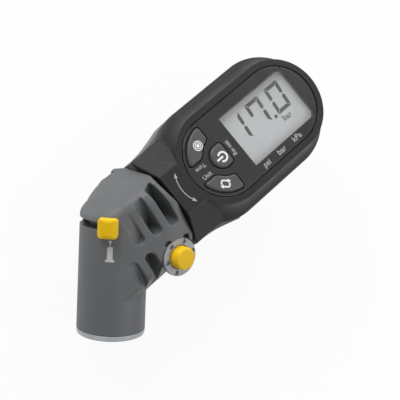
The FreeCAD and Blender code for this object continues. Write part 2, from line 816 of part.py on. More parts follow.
def make_battery():
    """Coin cell, its two contacts, and the door with its seal ring."""
    centre = Placement(Vector(number("cell_reach"), 0, 0), Rotation())
    cell = [("0", "cell_floor"), ("cell_half", "cell_floor"), ("cell_half", "cell_top - 0.6"),
            ("cell_half - 0.9", "cell_top - 0.6"), ("cell_half - 0.9", "cell_top"), ("0", "cell_top")]
    keep("coin_cell", turned("coin_cell_body", cell, centre), GAUGE * centre)
    spring = [("cell_reach - 4", "cell_top"), ("cell_reach + 2", "cell_top"),
              ("cell_reach + 6", "board_floor - strip_thick"), ("cell_reach + 9", "board_floor - strip_thick"),
              ("cell_reach + 9", "board_floor"), ("cell_reach + 5.7", "board_floor"),
              ("cell_reach + 1.7", "cell_top + strip_thick"), ("cell_reach - 4", "cell_top + strip_thick")]
    keep("battery_spring", padded("battery_spring_body", "XZ", [spring], "-strip_wide / 2", "strip_wide / 2"), GAUGE)
    side = "cell_reach - door_half - door_gap - 1.3"
    clip = [(side, "cell_top - 0.6 + 0.05"), ("cell_reach - cell_half + 0.4", "cell_top - 0.6 + 0.05"),
            ("cell_reach - cell_half + 0.4", "cell_top - 0.15"), (f"{side} + strip_thick", "cell_top - 0.15"),
            (f"{side} + strip_thick", "board_floor"), (side, "board_floor")]
    keep("battery_clip", padded("battery_clip_body", "XZ", [clip], "-strip_wide / 2", "strip_wide / 2"), GAUGE)
    groove = "door_half - door_ledge + 0.6"
    door = [("0", "back"), ("door_half", "back"), ("door_half", "ledge_rise - 0.1"),
            (f"{groove} + seal_wire", "ledge_rise - 0.1"), (f"{groove} + seal_wire", "ledge_rise - 2 * seal_wire"),
            (f"{groove} - seal_wire", "ledge_rise - 2 * seal_wire"), (f"{groove} - seal_wire", "ledge_rise - 0.1"),
            ("door_half - door_ledge", "ledge_rise - 0.1"), ("door_half - door_ledge", "cell_floor - 0.05"),
            ("0", "cell_floor - 0.05")]
    body = turned("battery_door_body", door, centre)
    slot = rectangle("-coin_slot_long / 2", "-coin_slot_wide / 2", "coin_slot_long / 2", "coin_slot_wide / 2")
    pocket(body, "XY", [slot], "back - 1", "back + coin_slot_deep")
    for start in (0, 180):
        lug = turned("door_lug", tube("door_half - door_ledge - 1", "door_half", "ledge_rise + 0.5",
                                      "ledge_rise + 0.5 + lug_thick - 0.1"),
                     Placement(Vector(number("cell_reach"), 0, 0), Rotation(Vector(0, 0, 1), start + 70)),
                     "lug_angle")
        body = join("battery_door_lugs", [body, lug])
    keep("battery_door", body, GAUGE)
    seal = turned("door_seal_body", ring_of(groove, "ledge_rise - seal_wire", "seal_wire"), centre)
    keep("door_seal", seal, GAUGE * centre)


# Swivel, hose and sensor

def make_swivel():
    """Hollow spindle clamped in the neck, with its seals, its clip, the hose and the pressure sensor."""
    deep = "spindle_half - 2 * ring_wire"
    groove_one = ("first_seal - ring_wire - 0.2", "first_seal + ring_wire + 0.2")
    groove_two = ("second_seal - ring_wire - 0.2", "second_seal + ring_wire + 0.2")
    clip_groove = ("clip_reach", "clip_reach + clip_thick")
    outline = [("spindle_bore", "spindle_tip"), ("spindle_half - 0.8", "spindle_tip"),
               ("spindle_half", "spindle_tip + 0.8")]
    for (low, high), floor in ((clip_groove, "spindle_half - clip_groove"), (groove_one, deep), (groove_two, deep)):
        outline += [("spindle_half", low), (floor, low), (floor, high), ("spindle_half", high)]
    outline += [("spindle_half", "flange_reach"), ("flange_half", "flange_reach"),
                ("flange_half", "flange_reach + flange_thick"), ("spindle_tail", "flange_reach + flange_thick"),
                ("spindle_tail", "spindle_end"), ("barb_half", "spindle_end"), ("barb_half", "barb_end"),
                ("spindle_bore", "barb_end")]
    keep("swivel_spindle", turned("swivel_spindle_body", outline), GAUGE * SWIVEL)
    seals = [turned("swivel_seal", ring_of("spindle_half - ring_wire", spot, "ring_wire"))
             for spot in ("first_seal", "second_seal")]
    keep("swivel_seals", group("seal_group", seals), GAUGE * SWIVEL)
    clip = turned("spindle_clip_body", tube("spindle_half - clip_groove", "clip_half", "clip_reach",
                                            "clip_reach + clip_thick"), angle="330")
    keep("spindle_clip", clip, GAUGE * SWIVEL)
    washer = turned("thrust_washer_body", tube("washer_bore", "washer_half", "neck_end - 0.1 - washer_thick",
                                               "neck_end - 0.1"))
    keep("thrust_washer", washer, HEAD * SWIVEL)
    hose = turned("air_hose_body", tube("barb_half", "hose_half", "spindle_end", "spindle_end + hose_length"))
    keep("air_hose", hose, GAUGE * SWIVEL)
    sensor = turned("sensor_can", [("0", "sensor_near - 4"), ("barb_half", "sensor_near - 4"),
                                   ("barb_half", "sensor_near"), ("sensor_half", "sensor_near"),
                                   ("sensor_half", "sensor_near + sensor_length"),
                                   ("0", "sensor_near + sensor_length")], SWIVEL)
    pins = [cylinder("sensor_pin", "sensor_pin", "sensor_half / 2", "board_floor",
                     Placement(Vector(number("sensor_near") + along, side, 0), Rotation()))
            for along in (4.6, 7.0) for side in (-2.5, 2.5)]
    keep("pressure_sensor", join("sensor_body", [sensor] + pins), GAUGE)


# Head

def make_head_block():
    """The head's outer form: eight-sided barrel, flanks that close in on the chuck, chuck and hood."""
    section = [("flat_half", "crest_half"), ("crest_half", "flat_half"), ("-crest_half", "flat_half"),
               ("-flat_half", "crest_half"), ("-flat_half", "-facet_half"), ("-facet_half", "-flat_half"),
               ("facet_half", "-flat_half"), ("flat_half", "-facet_half")]
    side = "(flat_half - rim_bevel)"
    corner = "(facet_half - rim_bevel * tan(22.5 deg))"
    rim = [(side, corner), (corner, side), ("-" + corner, side), ("-" + side, corner),
           ("-" + side, "-" + corner), ("-" + corner, "-" + side), (corner, "-" + side), (side, "-" + corner)]
    barrel = new_body("barrel_body")
    pad(barrel, "YZ", [section], "-rim_reach", "rim_reach - rim_bevel_run")
    bevel = barrel.newObject("PartDesign::AdditiveLoft", "rim_bevel_loft")
    bevel.Profile = new_sketch(barrel, "YZ", [section], "rim_reach - rim_bevel_run")
    bevel.Sections = [new_sketch(barrel, "YZ", [rim], "rim_reach")]
    bevel.Ruled = True
    doc.recompute()
    flanks = [("flank_x", "-flank_y"), ("flank_x", "flank_y"), ("flank_end", "flat_half"),
              (str(-FAR), "flat_half"), (str(-FAR), "-flat_half"), ("flank_end", "-flat_half")]
    wedge = padded("flank_wedge", "XY", [flanks], str(-FAR), str(FAR), CHUCK)
    column = turned("chuck_column", [("0", "-hood_height * 2"), ("chuck_half", "-hood_height * 2"),
                                     ("chuck_half", "-slot_floor"), ("chuck_mouth_half", "chuck_length"),
                                     ("0", "chuck_length")], CHUCK * Placement(Vector(), about_z(180)))
    hood = Placement(Vector(0, 0, number("hood_height")), Rotation(Vector(0, 1, 0), -number("hood_tilt")))
    sky = box("above_hood", (-FAR, -FAR, 0), (FAR, FAR, FAR), hood)
    trunk = without("trunk", within("barrel_and_flanks", [barrel, wedge]), [sky])
    hooded = without("hooded_column", column, [sky])
    above = hood.inverse()
    rim_edges = edges_where(hooded.Shape, lambda point: abs(above.multVec(point).z) < 1e-3)
    rounded = doc.addObject("Part::Fillet", "rounded_column")
    rounded.Base = hooded
    radius = number("hood_round")
    rounded.Edges = [(int(name[4:]), radius, radius) for name in rim_edges]
    doc.recompute()
    inside = "rim_reach - rim_bevel_run - 3"
    past_rim = box("past_rim", (inside, -FAR, -FAR), (FAR, FAR, FAR))
    return join("head_block", [trunk, without("short_column", rounded, [past_rim])])


def groove(centre, nose, reach):
    """The tool of one groove, round-ended at its nose and open at its far end."""
    place = Placement(Vector(number(centre), 0, number(nose)), Rotation(Vector(1, 0, 0), 90))
    low, high = sorted((0, reach))
    return [box("groove_slab", ("-groove_width / 2", low, -FAR), ("groove_width / 2", high, FAR), place),
            cylinder("groove_nose", "groove_width / 2", -FAR, FAR, place)]


def rib_cutter():
    """The grooves between the ribs: three above and two below, on each side of a round core and a web."""
    tools = []
    for step in range(3):
        tools += groove(f"groove_first - {step} * groove_pitch", "upper_groove_end", FAR)
    for step in (2, 3):
        tools += groove(f"groove_first - {step} * groove_pitch", "lower_groove_end", -FAR)
    core = cylinder("groove_core_round", "groove_core", -FAR, FAR, CHUCK)
    web = box("groove_web_plate", (-FAR, "-groove_web", -FAR), (FAR, "groove_web", FAR))
    return without("rib_cutter", join("groove_tools", tools), [core, web])


def make_head_shell():
    """The head shell: its block less the swivel socket, the chuck's cavity, the slot and the grooves."""
    socket = turned("socket_tool", [("0", "0"), ("clip_chamber", "0"), ("clip_chamber", "socket_floor"),
                                    ("spindle_half + running_gap", "socket_floor"),
                                    ("spindle_half + running_gap", "rim_reach - washer_thick"),
                                    ("washer_half + 0.2", "rim_reach - washer_thick"),
                                    ("washer_half + 0.2", "rim_reach + 1"), ("0", "rim_reach + 1")], SWIVEL)
    cavity = turned("cavity_tool", [("0", "-core_top"), ("core_bore", "-core_top"), ("core_bore", "gasket_floor"),
                                    ("cap_skirt", "gasket_floor"), ("cap_skirt", "chuck_length + 1"),
                                    ("0", "chuck_length + 1")], CHUCK)
    half = number("slot_half")
    slot = turned("slot_tool", tube("core_bore - 1", "chuck_half + 8", "-slot_top", "-slot_floor"),
                  CHUCK * Placement(Vector(), Rotation(Vector(0, 0, 1), -half)), "2 * slot_half")
    seat = turned("seat_tool", [("0", "collar_inner - bleed_chamber_deep"),
                                ("bleed_chamber", "collar_inner - bleed_chamber_deep"),
                                ("bleed_chamber", "collar_inner"), ("collar_seat", "collar_inner"),
                                ("collar_seat", "seat_face"), ("collar_half + 0.3", "seat_face"),
                                ("collar_half + 0.3", "flat_half + 2"), ("0", "flat_half + 2")], BLEED)
    scallops = [cylinder("scallop", "scallop_half", "bleed_face - scallop_deep", "flat_half + 2",
                         BLEED * Placement(spot_on_circle("collar_half + 0.4", 60 * step), Rotation()))
                for step in range(6)]
    shell = without("head_shell_body", make_head_block(), [socket, cavity, slot, seat, rib_cutter()] + scallops)
    keep("head_shell", shell, HEAD)


def spot_on_circle(radius, turn_angle):
    """A point on a circle about the Z axis, counted from the first pin hole."""
    angle = math.radians(number("pin_hole_turn") + turn_angle)
    return Vector(math.cos(angle), math.sin(angle), 0) * number(radius)


def make_mouth():
    """End cap, valve gasket, core tube and depressor pin."""
    cap = [("mouth_half", "gasket_floor"), ("cap_skirt", "gasket_floor"), ("cap_skirt", "chuck_length"),
           ("chuck_mouth_half", "chuck_length"),
           ("chuck_mouth_half", "mouth - cap_round", bend("radius", "cap_round", "right")),
           ("chuck_mouth_half - cap_round", "mouth"), ("mouth_half + mouth_bevel", "mouth"),
           ("mouth_half", "mouth - mouth_bevel")]
    keep("end_cap", turned("end_cap_body", cap), HEAD * CHUCK)
    gasket = [("gasket_bore", "gasket_top"), ("core_bore", "gasket_top"), ("core_bore", "gasket_floor"),
              ("mouth_half", "gasket_floor"), ("gasket_bore", "gasket_floor - 1.5")]
    keep("valve_gasket", turned("valve_gasket_body", gasket), HEAD * CHUCK)
    core = [("pin_half + running_gap", "-selector_floor + 0.2"), ("core_bore", "-selector_floor + 0.2"),
            ("core_bore", "gasket_top"), ("pin_collar + 0.4", "gasket_top"), ("pin_collar + 0.4", "gasket_top - 9"),
            ("pin_half + running_gap", "gasket_top - 9")]
    body = turned("core_tube_body", core)
    aim = math.radians(number("selector_angle"))
    well = ("circle", str(number("detent_reach") * math.cos(aim)), str(-number("detent_reach") * math.sin(aim)),
            "detent_half + running_gap")
    pocket(body, "XY", [well], "-selector_floor - 1", "-selector_floor + detent_deep + 0.1")
    keep("core_tube", body, HEAD * CHUCK)
    pin_end = "-selector_floor - selector_high + cam_plate"
    pin = [("0", pin_end), ("pin_half", pin_end),
           ("pin_half", "gasket_top - 7"), ("pin_collar", "gasket_top - 7"), ("pin_collar", "gasket_top - 5.5"),
           ("pin_half", "gasket_top - 5.5"), ("pin_half", "pin_reach - pin_travel"),
           ("0", "pin_reach - pin_travel")]
    keep("depressor_pin", turned("depressor_pin_body", pin), HEAD * CHUCK)


def make_selector():
    """Selector ring with its cam plate and its arm through the slot, and the tab outside."""
    aim = Placement(Vector(), Rotation(Vector(0, 0, 1), -number("selector_angle")))
    track = "(detent_half + running_gap)"
    hoop = [("0", "-selector_floor - selector_high"),
            ("core_bore - running_gap - 0.05", "-selector_floor - selector_high"),
            ("core_bore - running_gap - 0.05", "-selector_floor"), (f"detent_reach + {track}", "-selector_floor"),
            (f"detent_reach + {track}", f"-selector_floor - {track}"),
            (f"detent_reach - {track}", f"-selector_floor - {track}"),
            (f"detent_reach - {track}", "-selector_floor"), ("selector_bore", "-selector_floor"),
            ("selector_bore", "-selector_floor - selector_high + cam_plate"),
            ("0", "-selector_floor - selector_high + cam_plate")]
    ring = turned("selector_hoop", hoop)
    arm = box("selector_arm", ("core_bore - 2.5", "-arm_wide / 2", "-slot_top + arm_gap"),
              ("chuck_half + tab_gap + 1.2", "arm_wide / 2", "-slot_floor - arm_gap"), aim)
    keep("selector_ring", join("selector_ring_body", [ring, arm]), HEAD * CHUCK)
    middle = "(-slot_top + slot_height / 2)"
    outer = "chuck_half + tab_gap + tab_thick"
    plan = [("chuck_half - 2", "-tab_wide / 2"), (f"{outer} - tab_bevel - 0.2", "-tab_wide / 2"),
            (f"{outer} - tab_bevel", "-tab_wide / 2 + 0.2"), (outer, "-tab_face / 2"), (outer, "tab_face / 2"),
            (f"{outer} - tab_bevel", "tab_wide / 2 - 0.2"), (f"{outer} - tab_bevel - 0.2", "tab_wide / 2"),
            ("chuck_half - 2", "tab_wide / 2")]
    tab = padded("selector_tab_block", "XY", [plan], f"{middle} - tab_high / 2", f"{middle} + tab_high / 2")
    low, high = number(f"{middle} - tab_high / 2"), number(f"{middle} + tab_high / 2")
    side = number("tab_wide / 2")
    corners = [name for name in edges_where(tab.Shape, lambda point: abs(abs(point.y) - side) < 1e-3)
               if runs_along(tab.Shape.getElement(name), Vector(1, 0, 0))]
    fillet(tab, corners, "tab_corner")
    bore = cylinder("tab_bore", "chuck_half + tab_gap", -FAR, FAR)
    notch = box("tab_notch", ("chuck_half", "-arm_wide / 2", "-slot_top + arm_gap"),
                ("chuck_half + tab_gap + 1.2", "arm_wide / 2", "-slot_floor - arm_gap"))
    keep("selector_tab", without("selector_tab_body", tab, [bore, notch]), HEAD * CHUCK * aim)


def make_bleed_valve():
    """Bleed collar with its pin holes, button, stem with poppet, seal and spring."""
    guide = "button_half + running_gap"
    collar = [("stem_half + running_gap", "collar_inner"), ("collar_seat", "collar_inner"),
              ("collar_seat", "seat_face"), ("collar_half", "seat_face"), ("collar_half", "bleed_face - collar_edge"),
              ("collar_half - collar_edge", "bleed_face"), (guide, "bleed_face"),
              (guide, "collar_inner + collar_floor"), ("stem_half + running_gap", "collar_inner + collar_floor")]
    body = turned("bleed_collar_body", collar)
    hole = pocket(body, "XY", [("circle", "pin_hole_circle * cos(pin_hole_turn * 1 deg)",
                                "pin_hole_circle * sin(pin_hole_turn * 1 deg)", "pin_hole_half")],
                  "bleed_face - pin_hole_deep", "bleed_face + 1")
    holes = body.newObject("PartDesign::PolarPattern", "pin_holes")
    holes.Originals = [hole]
    holes.Axis = ([item for item in body.Origin.OriginFeatures if item.Role == "Z_Axis"][0], [""])
    holes.Angle = 360
    holes.Occurrences = 6
    body.Tip = holes
    doc.recompute()
    keep("bleed_collar", body, HEAD * BLEED)
    button = [("button_half - button_wall", "button_floor"), ("button_half", "button_floor"),
              ("button_half", "button_top - button_round", bend("radius", "button_round", "right")),
              ("button_half - button_round", "button_top"), ("0", "button_top"),
              ("0", "button_top - 1.6"), ("button_half - button_wall", "button_top - 1.6")]
    keep("bleed_button", turned("bleed_button_body", button), HEAD * BLEED)
    stem = [("0", "button_top - 1.6"), ("0", "collar_inner - 0.6 - poppet_thick"),
            ("poppet_half", "collar_inner - 0.6 - poppet_thick"), ("poppet_half", "collar_inner - 0.6"),
            ("stem_half", "collar_inner - 0.6"), ("stem_half", "button_top - 1.6")]
    keep("bleed_stem", turned("bleed_stem_body", stem), HEAD * BLEED)
    seal = turned("bleed_seal_body", ring_of("stem_half + 0.3", "collar_inner - 0.3", "0.28"))
    keep("bleed_seal", seal, HEAD * BLEED)
    coil = tube("spring_half - spring_wire", "spring_half + spring_wire", "collar_inner + collar_floor",
                "button_top - 1.6")
    keep("bleed_spring", turned("bleed_spring_body", coil), HEAD * BLEED)


def make_detent():
    """Ball and spring in the core tube that hold the selector at its two marks."""
    place = Placement(Vector(), Rotation(Vector(0, 0, 1), -number("selector_angle"))) * Placement(
        Vector(number("detent_reach"), 0, -number("selector_floor")), Rotation())
    ball = doc.addObject("Part::Sphere", "ball")
    bind(ball, "Radius", "detent_half")
    keep("detent_ball", ball, HEAD * CHUCK * place)
    spring = turned("detent_spring_body", tube("detent_half - 0.7", "detent_half - 0.1", "detent_half",
                                               "detent_deep"))
    keep("detent_spring", spring, HEAD * CHUCK * place)


def build():
    """Makes every piece."""
    make_front_casing()
    make_rear_cover()
    make_casing_screws()
    make_display_lens()
    make_keys()
    make_key_mat()
    make_display()
    make_board()
    make_battery()
    make_swivel()
    make_head_shell()
    make_mouth()
    make_selector()
    make_detent()
    make_bleed_valve()
    doc.recompute()


def check():
    """Stops where any object failed or a piece has no sound solid."""
    for item in doc.Objects:
        if "Invalid" in item.State or "Error" in item.State:
            raise ValueError(f"{item.Label} failed: {item.State}")
    for name, item in pieces.items():
        shape = item.Shape
        if shape.isNull() or not shape.isValid() or not shape.Solids:
            raise ValueError(f"{name} has no sound solid")


def write():
    """Writes one STEP file for each piece."""
    os.makedirs("parts", exist_ok=True)
    for name, item in pieces.items():
        item.Shape.exportStep(f"parts/{name}.step")
        print(f"{name}: {len(item.Shape.Solids)} solids, {item.Shape.Volume:.1f} mm3")


build()
check()
write()
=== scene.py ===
"""Looks of a digital tire pressure gauge with a swivelling valve head.

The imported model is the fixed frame, in metres. Shapes are worked out in millimetres in the gauge's, the
head's, the chuck's or the bleed valve's own frame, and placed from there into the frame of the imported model.
"""
import json
import logging
import math
from contextlib import contextmanager
from dataclasses import dataclass, field
from enum import Enum
from typing import Callable, Iterator, Sequence

import bmesh
import bpy
import numpy as np
from mathutils import Matrix, Vector


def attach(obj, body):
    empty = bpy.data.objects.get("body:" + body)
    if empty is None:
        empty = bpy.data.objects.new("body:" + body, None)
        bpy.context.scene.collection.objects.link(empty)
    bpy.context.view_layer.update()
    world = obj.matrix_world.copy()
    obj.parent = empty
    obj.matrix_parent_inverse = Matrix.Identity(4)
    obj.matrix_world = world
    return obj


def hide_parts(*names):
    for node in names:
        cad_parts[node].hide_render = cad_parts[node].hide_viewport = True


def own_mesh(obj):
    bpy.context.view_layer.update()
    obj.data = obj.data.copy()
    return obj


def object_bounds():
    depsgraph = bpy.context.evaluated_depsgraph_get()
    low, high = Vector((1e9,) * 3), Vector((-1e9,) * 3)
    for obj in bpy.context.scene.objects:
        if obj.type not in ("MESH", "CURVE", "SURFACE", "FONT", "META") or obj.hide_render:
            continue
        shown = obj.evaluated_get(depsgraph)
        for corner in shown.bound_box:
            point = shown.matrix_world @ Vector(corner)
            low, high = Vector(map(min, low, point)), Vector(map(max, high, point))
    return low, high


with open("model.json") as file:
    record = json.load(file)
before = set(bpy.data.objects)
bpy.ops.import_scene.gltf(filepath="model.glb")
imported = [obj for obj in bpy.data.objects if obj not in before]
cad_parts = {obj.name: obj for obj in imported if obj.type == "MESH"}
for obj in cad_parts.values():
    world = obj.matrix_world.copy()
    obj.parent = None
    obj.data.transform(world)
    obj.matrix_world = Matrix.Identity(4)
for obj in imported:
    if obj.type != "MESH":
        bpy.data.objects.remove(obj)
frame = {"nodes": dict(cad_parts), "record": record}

Array = np.ndarray
Spot = tuple[float, float]
Point = tuple[float, float, float]
Colour = tuple[float, float, float, float]
Distance = Callable[[Array, Array, Array], Array]
Wrap = Callable[[Array], Array]
Value = bpy.types.NodeSocket | float
Tint = bpy.types.NodeSocket | Colour

MM = 0.001
CAD_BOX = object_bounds()
LOG = logging.getLogger("gauge")


# Frames

@dataclass(frozen=True)
class Place:
    """A right-handed frame: its origin in millimetres and its axes as rows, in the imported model's axes."""

    origin: Array
    axes: Array

    def inner(self, origin: Point, x_axis: Point, z_axis: Point) -> "Place":
        """Gives a frame that is stated in this one.

        Args:
            origin: Its origin in this frame, in millimetres.
            x_axis: Its X axis in this frame.
            z_axis: Its Z axis in this frame.

        Returns:
            The inner frame.
        """
        third = np.array(z_axis, float) / np.linalg.norm(z_axis)
        first = np.array(x_axis, float) / np.linalg.norm(x_axis)
        own = np.stack([first, np.cross(third, first), third])
        return Place(self.origin + np.array(origin, float) @ self.axes, own @ self.axes)

    def to_model(self, points: Array) -> Array:
        """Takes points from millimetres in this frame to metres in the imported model's frame."""
        return (np.asarray(points, float) @ self.axes + self.origin) * MM


REST_REACH = 58.0
AXIS_HEIGHT = 8.4
HEAD_ROLL = math.radians(60.0)
CHUCK_ANGLE = math.radians(121.6)
BLEED_X = 14.1
BLEED_Z = -11.7

GAUGE = Place(np.array((-REST_REACH, 0.0, AXIS_HEIGHT)), np.eye(3))
HEAD = GAUGE.inner((0, 0, 0), (1, 0, 0), (0, math.sin(HEAD_ROLL), math.cos(HEAD_ROLL)))
CHUCK = HEAD.inner((0, 0, 0), (-math.sin(CHUCK_ANGLE), 0, -math.cos(CHUCK_ANGLE)),
                   (math.cos(CHUCK_ANGLE), 0, -math.sin(CHUCK_ANGLE)))
BLEED = HEAD.inner((BLEED_X, 0, BLEED_Z), (1, 0, 0), (0, -1, 0))


# Signed distances: negative inside the material, in millimetres

def both(first: Array, second: Array, radius: float | Array = 0.0) -> Array:
    """Keeps what two solids share.

    Args:
        first: Distance to one solid.
        second: Distance to the other.
        radius: Radius of the rounded outer edge between them, one or one for each point.

    Returns:
        The larger distance, with a quarter circle of that radius in place of the corner.
    """
    if np.ndim(radius) == 0 and radius <= 0:
        return np.maximum(first, second)
    one = np.maximum(first + radius, 0)
    two = np.maximum(second + radius, 0)
    return np.minimum(np.maximum(first, second), -radius) + np.sqrt(one * one + two * two)


def either(first: Array, second: Array, radius: float = 0.0) -> Array:
    """Joins two solids, with a concave fillet of the given radius where they meet."""
    return -both(-first, -second, radius)


def less(first: Array, second: Array, radius: float = 0.0) -> Array:
    """Takes the second solid from the first and rounds the lip of the cut by the given radius."""
    return both(first, -second, radius)


def any_of(*solids: Array) -> Array:
    """Joins solids with sharp corners: the smallest of their distances."""
    return np.minimum.reduce(np.broadcast_arrays(*solids))


def stadium(x: Array, y: Array, near: float, far: float, half: float) -> Array:
    """Distance to a plan with straight sides and round ends: that to a line from near to far, less half."""
    along = x - np.clip(x, near, far)
    return np.sqrt(along * along + y * y) - half


def slab(value: Array, low: float, high: float) -> Array:
    """Distance to what lies between two parallel planes."""
    return np.abs(value - (low + high) / 2) - (high - low) / 2


def radial(x: Array, y: Array) -> Array:
    """Distance from an axis: the root of the sum of both squares."""
    return np.sqrt(x * x + y * y)


def six_about(x: Array, y: Array, reach: float) -> Array:
    """Distance from the nearest of six axes at the given reach, 60 degrees apart and the first at 45."""
    turns = np.radians(45 + 60 * np.arange(6))
    return any_of(*[radial(x - reach * math.cos(turn), y - reach * math.sin(turn)) for turn in turns])


def smooth_step(value: Array, low: float, high: float) -> Array:
    """Rises from 0 to 1 between two values: three times the share's square, less twice its cube."""
    share = np.clip((value - low) / (high - low), 0, 1)
    return share * share * (3 - 2 * share)


# Meshes

@dataclass(frozen=True)
class MouldedSkin:
    """The closed surface of a solid that is given as a signed distance.

    The distance is sampled on a cubic grid. Each cell that the surface crosses gets one point, the mean of
    the crossings on its twelve edges, and each grid edge that is crossed gets one four-sided face between
    the points of its four cells. The points are then moved down the slope of the distance until it is nil.
    """

    distance: Distance
    low: Point
    high: Point
    cell: float
    moves: int = 4
    least_slope: float = 0.25
    longest_move: float = 0.5

    def build(self) -> tuple[Array, Array, Array]:
        """Works out the surface.

        Returns:
            Points, four-sided faces and unit normals.
        """
        counts = [int(math.ceil((b - a) / self.cell)) + 1 for a, b in zip(self.low, self.high)]
        lines = [a + self.cell * np.arange(n) for a, n in zip(self.low, counts)]
        x, y, z = np.meshgrid(*[line.astype(np.float32) for line in lines], indexing="ij", sparse=True)
        values = np.broadcast_to(self.distance(x, y, z), counts).astype(np.float32)
        inside = values < 0
        corners_inside = sum(inside[self._corner(index, counts)].astype(np.int8) for index in range(8))
        cells = np.argwhere((corners_inside > 0) & (corners_inside < 8))
        points = self._cell_points(values, cells)
        number = np.full([n - 1 for n in counts], -1, np.int32)
        number[tuple(cells.T)] = np.arange(len(cells), dtype=np.int32)
        faces = np.concatenate([self._faces_along(axis, inside, number) for axis in range(3)])
        points = np.array(self.low) + self.cell * points
        for _ in range(self.moves):
            value, slope = self._slope(points)
            steepness = np.maximum((slope * slope).sum(1), self.least_slope)
            move = -value[:, None] * slope / steepness[:, None]
            size = np.linalg.norm(move, axis=1, keepdims=True)
            points = points + move * np.minimum(1, self.longest_move * self.cell / np.maximum(size, 1e-9))
        normals = self._slope(points)[1]
        return points, faces, normals / np.maximum(np.linalg.norm(normals, axis=1, keepdims=True), 1e-9)

    @staticmethod
    def _corner(index: int, counts: Sequence[int]) -> tuple[slice, ...]:
        """The part of the grid that holds one of the eight corners of every cell."""
        far = [(index >> axis) & 1 for axis in range(3)]
        return tuple(slice(shift, count - 1 + shift) for shift, count in zip(far, counts))

    @staticmethod
    def _cell_points(values: Array, cells: Array) -> Array:
        """Finds one point in each cell, the mean of the crossings on its edges.

        Args:
            values: Distance at each point of the grid.
            cells: Grid numbers of each cell's lowest corner.

        Returns:
            The points, in cells from the grid's lowest corner.
        """
        offsets = np.array([[(index >> axis) & 1 for axis in range(3)] for index in range(8)])
        at_corner = np.stack([values[tuple((cells + offset).T)] for offset in offsets], 1)
        total = np.zeros((len(cells), 3))
        count = np.zeros(len(cells))
        edges = [(low, low | (1 << axis)) for low in range(8) for axis in range(3) if not low & (1 << axis)]
        for low, high in edges:
            one, two = at_corner[:, low], at_corner[:, high]
            crossed = (one < 0) != (two < 0)
            share = np.where(crossed, one / np.where(crossed, one - two, 1), 0)
            total += crossed[:, None] * (offsets[low] + share[:, None] * (offsets[high] - offsets[low]))
            count += crossed
        return cells + total / count[:, None]

    @staticmethod
    def _faces_along(axis: int, inside: Array, number: Array) -> Array:
        """Makes a face between the four cells round every crossed grid edge that runs along one axis.

        Args:
            axis: Number of the axis.
            inside: Whether each point of the grid is in the material.
            number: Number of each cell's point.

        Returns:
            Corner numbers of the faces, which point outwards.
        """
        start = [slice(1, -1)] * 3
        stop = [slice(1, -1)] * 3
        start[axis], stop[axis] = slice(0, -1), slice(1, None)
        here, there = inside[tuple(start)], inside[tuple(stop)]
        edges = np.argwhere(here != there)
        outward = here[tuple(edges.T)]
        edges[:, [(axis + 1) % 3, (axis + 2) % 3]] += 1
        corners = []
        for back_one, back_two in ((1, 1), (0, 1), (0, 0), (1, 0)):
            cell = edges.copy()
            cell[:, (axis + 1) % 3] -= back_one
            cell[:, (axis + 2) % 3] -= back_two
            corners.append(number[tuple(cell.T)])
        faces = np.stack(corners, 1)
        faces[~outward] = faces[~outward][:, ::-1]
        return faces

    def _slope(self, points: Array, reach: float = 0.01) -> tuple[Array, Array]:
        """Works out the distance at each point, and its slope from differences along each axis.

        Args:
            points: The points, in millimetres.
            reach: How far the differences reach, in millimetres.

        Returns:
            Distances and slopes.
        """
        value = np.asarray(self.distance(*points.T), float)
        parts = []
        for shift in reach * np.eye(3):
            ahead = self.distance(*(points + shift).T)
            behind = self.distance(*(points - shift).T)
            parts.append((ahead - behind) / (2 * reach))
        return value, np.stack(parts, 1)


def linked(name: str, data: bpy.types.ID) -> bpy.types.Object:
    """Makes an object and links it to the scene.

    Args:
        name: Its name.
        data: The mesh, text, lamp or camera that it shows.

    Returns:
        The object.
    """
    made = bpy.data.objects.new(name, data)
    bpy.context.scene.collection.objects.link(made)
    return made


@contextmanager
def edited(mesh: bpy.types.Mesh) -> Iterator[bmesh.types.BMesh]:
    """Opens a mesh for editing and writes it back.

    Args:
        mesh: The mesh.

    Yields:
        The mesh as an editable one.
    """
    work = bmesh.new()
    work.from_mesh(mesh)
    yield work
    work.to_mesh(mesh)
    work.free()


def points_of(mesh: bpy.types.Mesh) -> Array:
    """Reads a mesh's points.

    Args:
        mesh: The mesh.

    Returns:
        The points, one in each row.
    """
    points = np.empty(3 * len(mesh.vertices))
    mesh.vertices.foreach_get("co", points)
    return points.reshape(-1, 3)


def mesh_of(name: str, points: Array, faces: Array | list, place: Place, normals: Array | None = None
            ) -> bpy.types.Object:
    """Puts points and faces into a new object whose place is in its mesh.

    Args:
        name: The piece's name.
        points: Points in millimetres of the place.
        faces: Corner numbers of each face.
        place: Frame that the points are in.
        normals: Unit normals in that frame, for smooth shading.

    Returns:
        The object, linked to the scene.
    """
    mesh = bpy.data.meshes.new(name)
    faces = faces.tolist() if isinstance(faces, Array) else faces
    mesh.from_pydata(place.to_model(points).tolist(), [], faces)
    mesh.update()
    if normals is not None:
        mesh.polygons.foreach_set("use_smooth", np.ones(len(mesh.polygons), bool))
        mesh.normals_split_custom_set_from_vertices((normals @ place.axes).tolist())
    return linked(name, mesh)


def moulded(name: str, skin: MouldedSkin, place: Place) -> bpy.types.Object:
    """Makes the piece of a moulded skin."""
    points, faces, normals = skin.build()
    return mesh_of(name, points, faces, place, normals)


